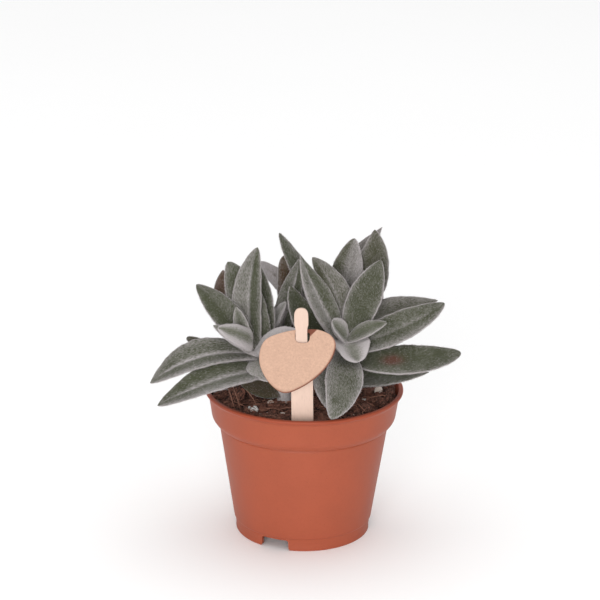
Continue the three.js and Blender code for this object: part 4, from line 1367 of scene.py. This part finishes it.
def wood_material(settings):
    """Pale planed wood: long fine grain, short pores, and painted light low down under the tag."""
    paint, wood = Paint("stick_wood_planed"), settings.wood
    upright = {"Vector": paint.place, "Rotation": (math.pi / 2, 0.0, 0.0)}
    upright = paint.add("Mapping", upright).outputs[0]
    grain, pores = paint.strands(upright, 900.0, 0.03, 1.6), paint.strands(upright, 2600.0, 0.12, 3.4)
    # Painted light and shade: paler low down, where the tag shades the stick, a little darker at the
    # head
    paint.base = paint.varied(paint.ranged(paint.height(), *STICK_PALE_HEIGHTS), wood, 1.2, 0.95)
    paint.base = paint.mixed(paint.ranged(grain, 0, 1, 0.08, 0.0), paint.base, shade(wood, 0.6))
    paint.lay(pores, 0.2, shade(wood, 0.7), 0.6, 1.0)
    return paint.done(0.68, (pores, 0.12, 0.0001))


def kraft_material(settings):
    """Kraft board: soft mottling and specks on its face, scorched where it is cut. The same dark colour
    is painted shadow along the lower right edge and painted shade on the bent-back flap.
    """
    paint, kraft = Paint("tag_kraft_board"), settings.kraft
    slow, fine = paint.clouds(220.0, 4.0, 1.8), paint.clouds(1100.0, 3.0, 3.2)
    paint.base = paint.mixed(fine, paint.varied(slow, kraft, 0.93, 1.07), shade(kraft, 0.86))
    paint.lay(paint.specks(620.0, 0.15), 0.5, shade(kraft, 0.55))
    # The cut edge's scorch, with painted shadow along the lower right and painted shade on the flap
    paint.base = paint.mixed(paint.attribute("edge"), paint.base, settings.scorch)
    return paint.done(0.8, (fine, 0.15, 0.0001))


def floor_material():
    """Plain pale floor."""
    paint = Paint("floor_pale")
    paint.base = paint.mixed(paint.clouds(3.0, 2.0, 1.0), *FLOOR_COLOURS)
    return paint.done(0.9)


# ---- Stage


def soft_light(name, power, place, size):
    """A square area light that faces the middle of the plant."""
    light = bpy.data.lights.new(name, "AREA")
    light.shape, light.size, light.energy = "SQUARE", size, power
    lamp = bpy.data.objects.new(name, light)
    lamp.location = place
    lamp.rotation_euler = (Vector(LIGHT_AIM) - Vector(place)).to_track_quat("-Z", "Y").to_euler()
    bpy.context.scene.collection.objects.link(lamp)


def lay_floor():
    """A pale square under the pot."""
    square = FLOOR_HALF / MM * np.array([(-1, -1, 0), (1, -1, 0), (1, 1, 0), (-1, 1, 0)])
    floor = new_piece("floor", square, [np.array([[0, 1, 2, 3]])], soft=False)
    floor.data.materials.append(floor_material())


def white_surroundings(strength):
    """An even white world."""
    world = bpy.data.worlds.new("white_surroundings")
    world.use_nodes = True
    background = world.node_tree.nodes["Background"].inputs
    background["Color"].default_value = WHITE
    background["Strength"].default_value = strength
    bpy.context.scene.world = world


def set_camera(settings):
    """The camera, from its distance, height, turns and lens."""
    lens = bpy.data.cameras.new("camera")
    lens.lens, lens.sensor_width = settings.lens, SENSOR_WIDTH
    lens.clip_start, lens.clip_end = CLIP_RANGE
    camera = bpy.data.objects.new("camera", lens)
    camera.matrix_world = (
        Matrix.Translation((0.0, -settings.distance, settings.height))
        @ Matrix.Rotation(settings.turn, 4, "Z")
        @ Matrix.Rotation(math.pi / 2 - settings.pitch, 4, "X")
        @ Matrix.Rotation(settings.tilt, 4, "Z"))
    bpy.context.scene.collection.objects.link(camera)
    bpy.context.scene.camera = camera


# ---- Operators


class JADE_OT_pot(bpy.types.Operator):
    """Build the nursery pot"""

    bl_idname = "jade.pot"
    bl_label = "Pot"

    def execute(self, context):
        settings = context.scene.jade_pot
        settle(build_pot(settings), plastic_material(settings), "pot_plastic", "pot")
        return {"FINISHED"}


class JADE_OT_soil(bpy.types.Operator):
    """Build the peat, its crumbs and fibres, the white grains and the stones"""

    bl_idname = "jade.soil"
    bl_label = "Soil"

    def execute(self, context):
        settings = context.scene.jade_soil
        peat, grit = peat_material(settings), grain_material()
        settle(build_soil(settings), peat, "peat", "soil")
        settle(build_crumbs(settings), peat, "peat")
        settle(build_fibres(settings), fibre_material(), "peat")
        settle(build_grains(settings), grit, "peat")
        settle(build_stones(settings), grit, "peat")
        return {"FINISHED"}


class JADE_OT_shoots(bpy.types.Operator):
    """Build the stems and leaves of the four shoots"""

    bl_idname = "jade.shoots"
    bl_label = "Shoots"

    def execute(self, context):
        felt = felt_material(context.scene.jade_leaf)
        for name, shoot in SHOOTS.items():
            piece = build_shoot(name.replace("shoot", "leaves"), shoot)
            settle(piece, felt, "felted_leaf", name)
        return {"FINISHED"}


class JADE_OT_hairs(bpy.types.Operator):
    """Build the hairs on the leaves and stems"""

    bl_idname = "jade.hairs"
    bl_label = "Hairs"

    def execute(self, context):
        settings = context.scene.jade_leaf
        material = hair_material(settings)
        for name, shoot in SHOOTS.items():
            piece = build_hairs(name.replace("shoot", "hairs"), shoot, settings)
            settle(piece, material, "felted_leaf")
        return {"FINISHED"}


class JADE_OT_label(bpy.types.Operator):
    """Build the wooden stick and the blank tag"""

    bl_idname = "jade.label"
    bl_label = "Label"

    def execute(self, context):
        settings = context.scene.jade_label
        settle(build_stick(), wood_material(settings), "stick_wood", "label_stick")
        settle(build_tag(), kraft_material(settings), "tag_kraft", "label_tag")
        return {"FINISHED"}


class JADE_OT_stage(bpy.types.Operator):
    """Set the camera, the soft light and the pale floor"""

    bl_idname = "jade.stage"
    bl_label = "Stage"

    def execute(self, context):
        settings = context.scene.jade_stage
        context.scene.view_settings.view_transform = "Standard"
        lay_floor()
        white_surroundings(settings.sky)
        soft_light("front_light", settings.front, *FRONT_LIGHT)
        soft_light("top_light", settings.top, *TOP_LIGHT)
        set_camera(settings)
        return {"FINISHED"}


class JADE_PT_panel(bpy.types.Panel):
    """Sidebar panel with a button for each group of pieces"""

    bl_idname = "JADE_PT_panel"
    bl_label = "Jade plant"
    bl_space_type = "VIEW_3D"
    bl_region_type = "UI"
    bl_category = "Jade plant"

    def draw(self, context):
        for step in STEPS:
            self.layout.operator(step.bl_idname)


STEPS = (JADE_OT_stage, JADE_OT_pot, JADE_OT_soil, JADE_OT_shoots, JADE_OT_hairs, JADE_OT_label)
SETTINGS = {
    "jade_pot": PotSettings, "jade_soil": SoilSettings, "jade_leaf": LeafSettings,
    "jade_label": LabelSettings, "jade_stage": StageSettings,
}


def register():
    """Registers the classes and puts the settings on the scene."""
    for made in (*SETTINGS.values(), *STEPS, JADE_PT_panel):
        bpy.utils.register_class(made)
    for name, group in SETTINGS.items():
        setattr(bpy.types.Scene, name, PointerProperty(type=group))


def unregister():
    """Takes away what register added."""
    for name in SETTINGS:
        delattr(bpy.types.Scene, name)
    for made in reversed((*SETTINGS.values(), *STEPS, JADE_PT_panel)):
        bpy.utils.unregister_class(made)


def main():
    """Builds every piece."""
    register()
    bpy.ops.jade.stage()
    bpy.ops.jade.pot()
    bpy.ops.jade.soil()
    bpy.ops.jade.shoots()
    bpy.ops.jade.hairs()
    bpy.ops.jade.label()


if __name__ == "__main__":
    main()
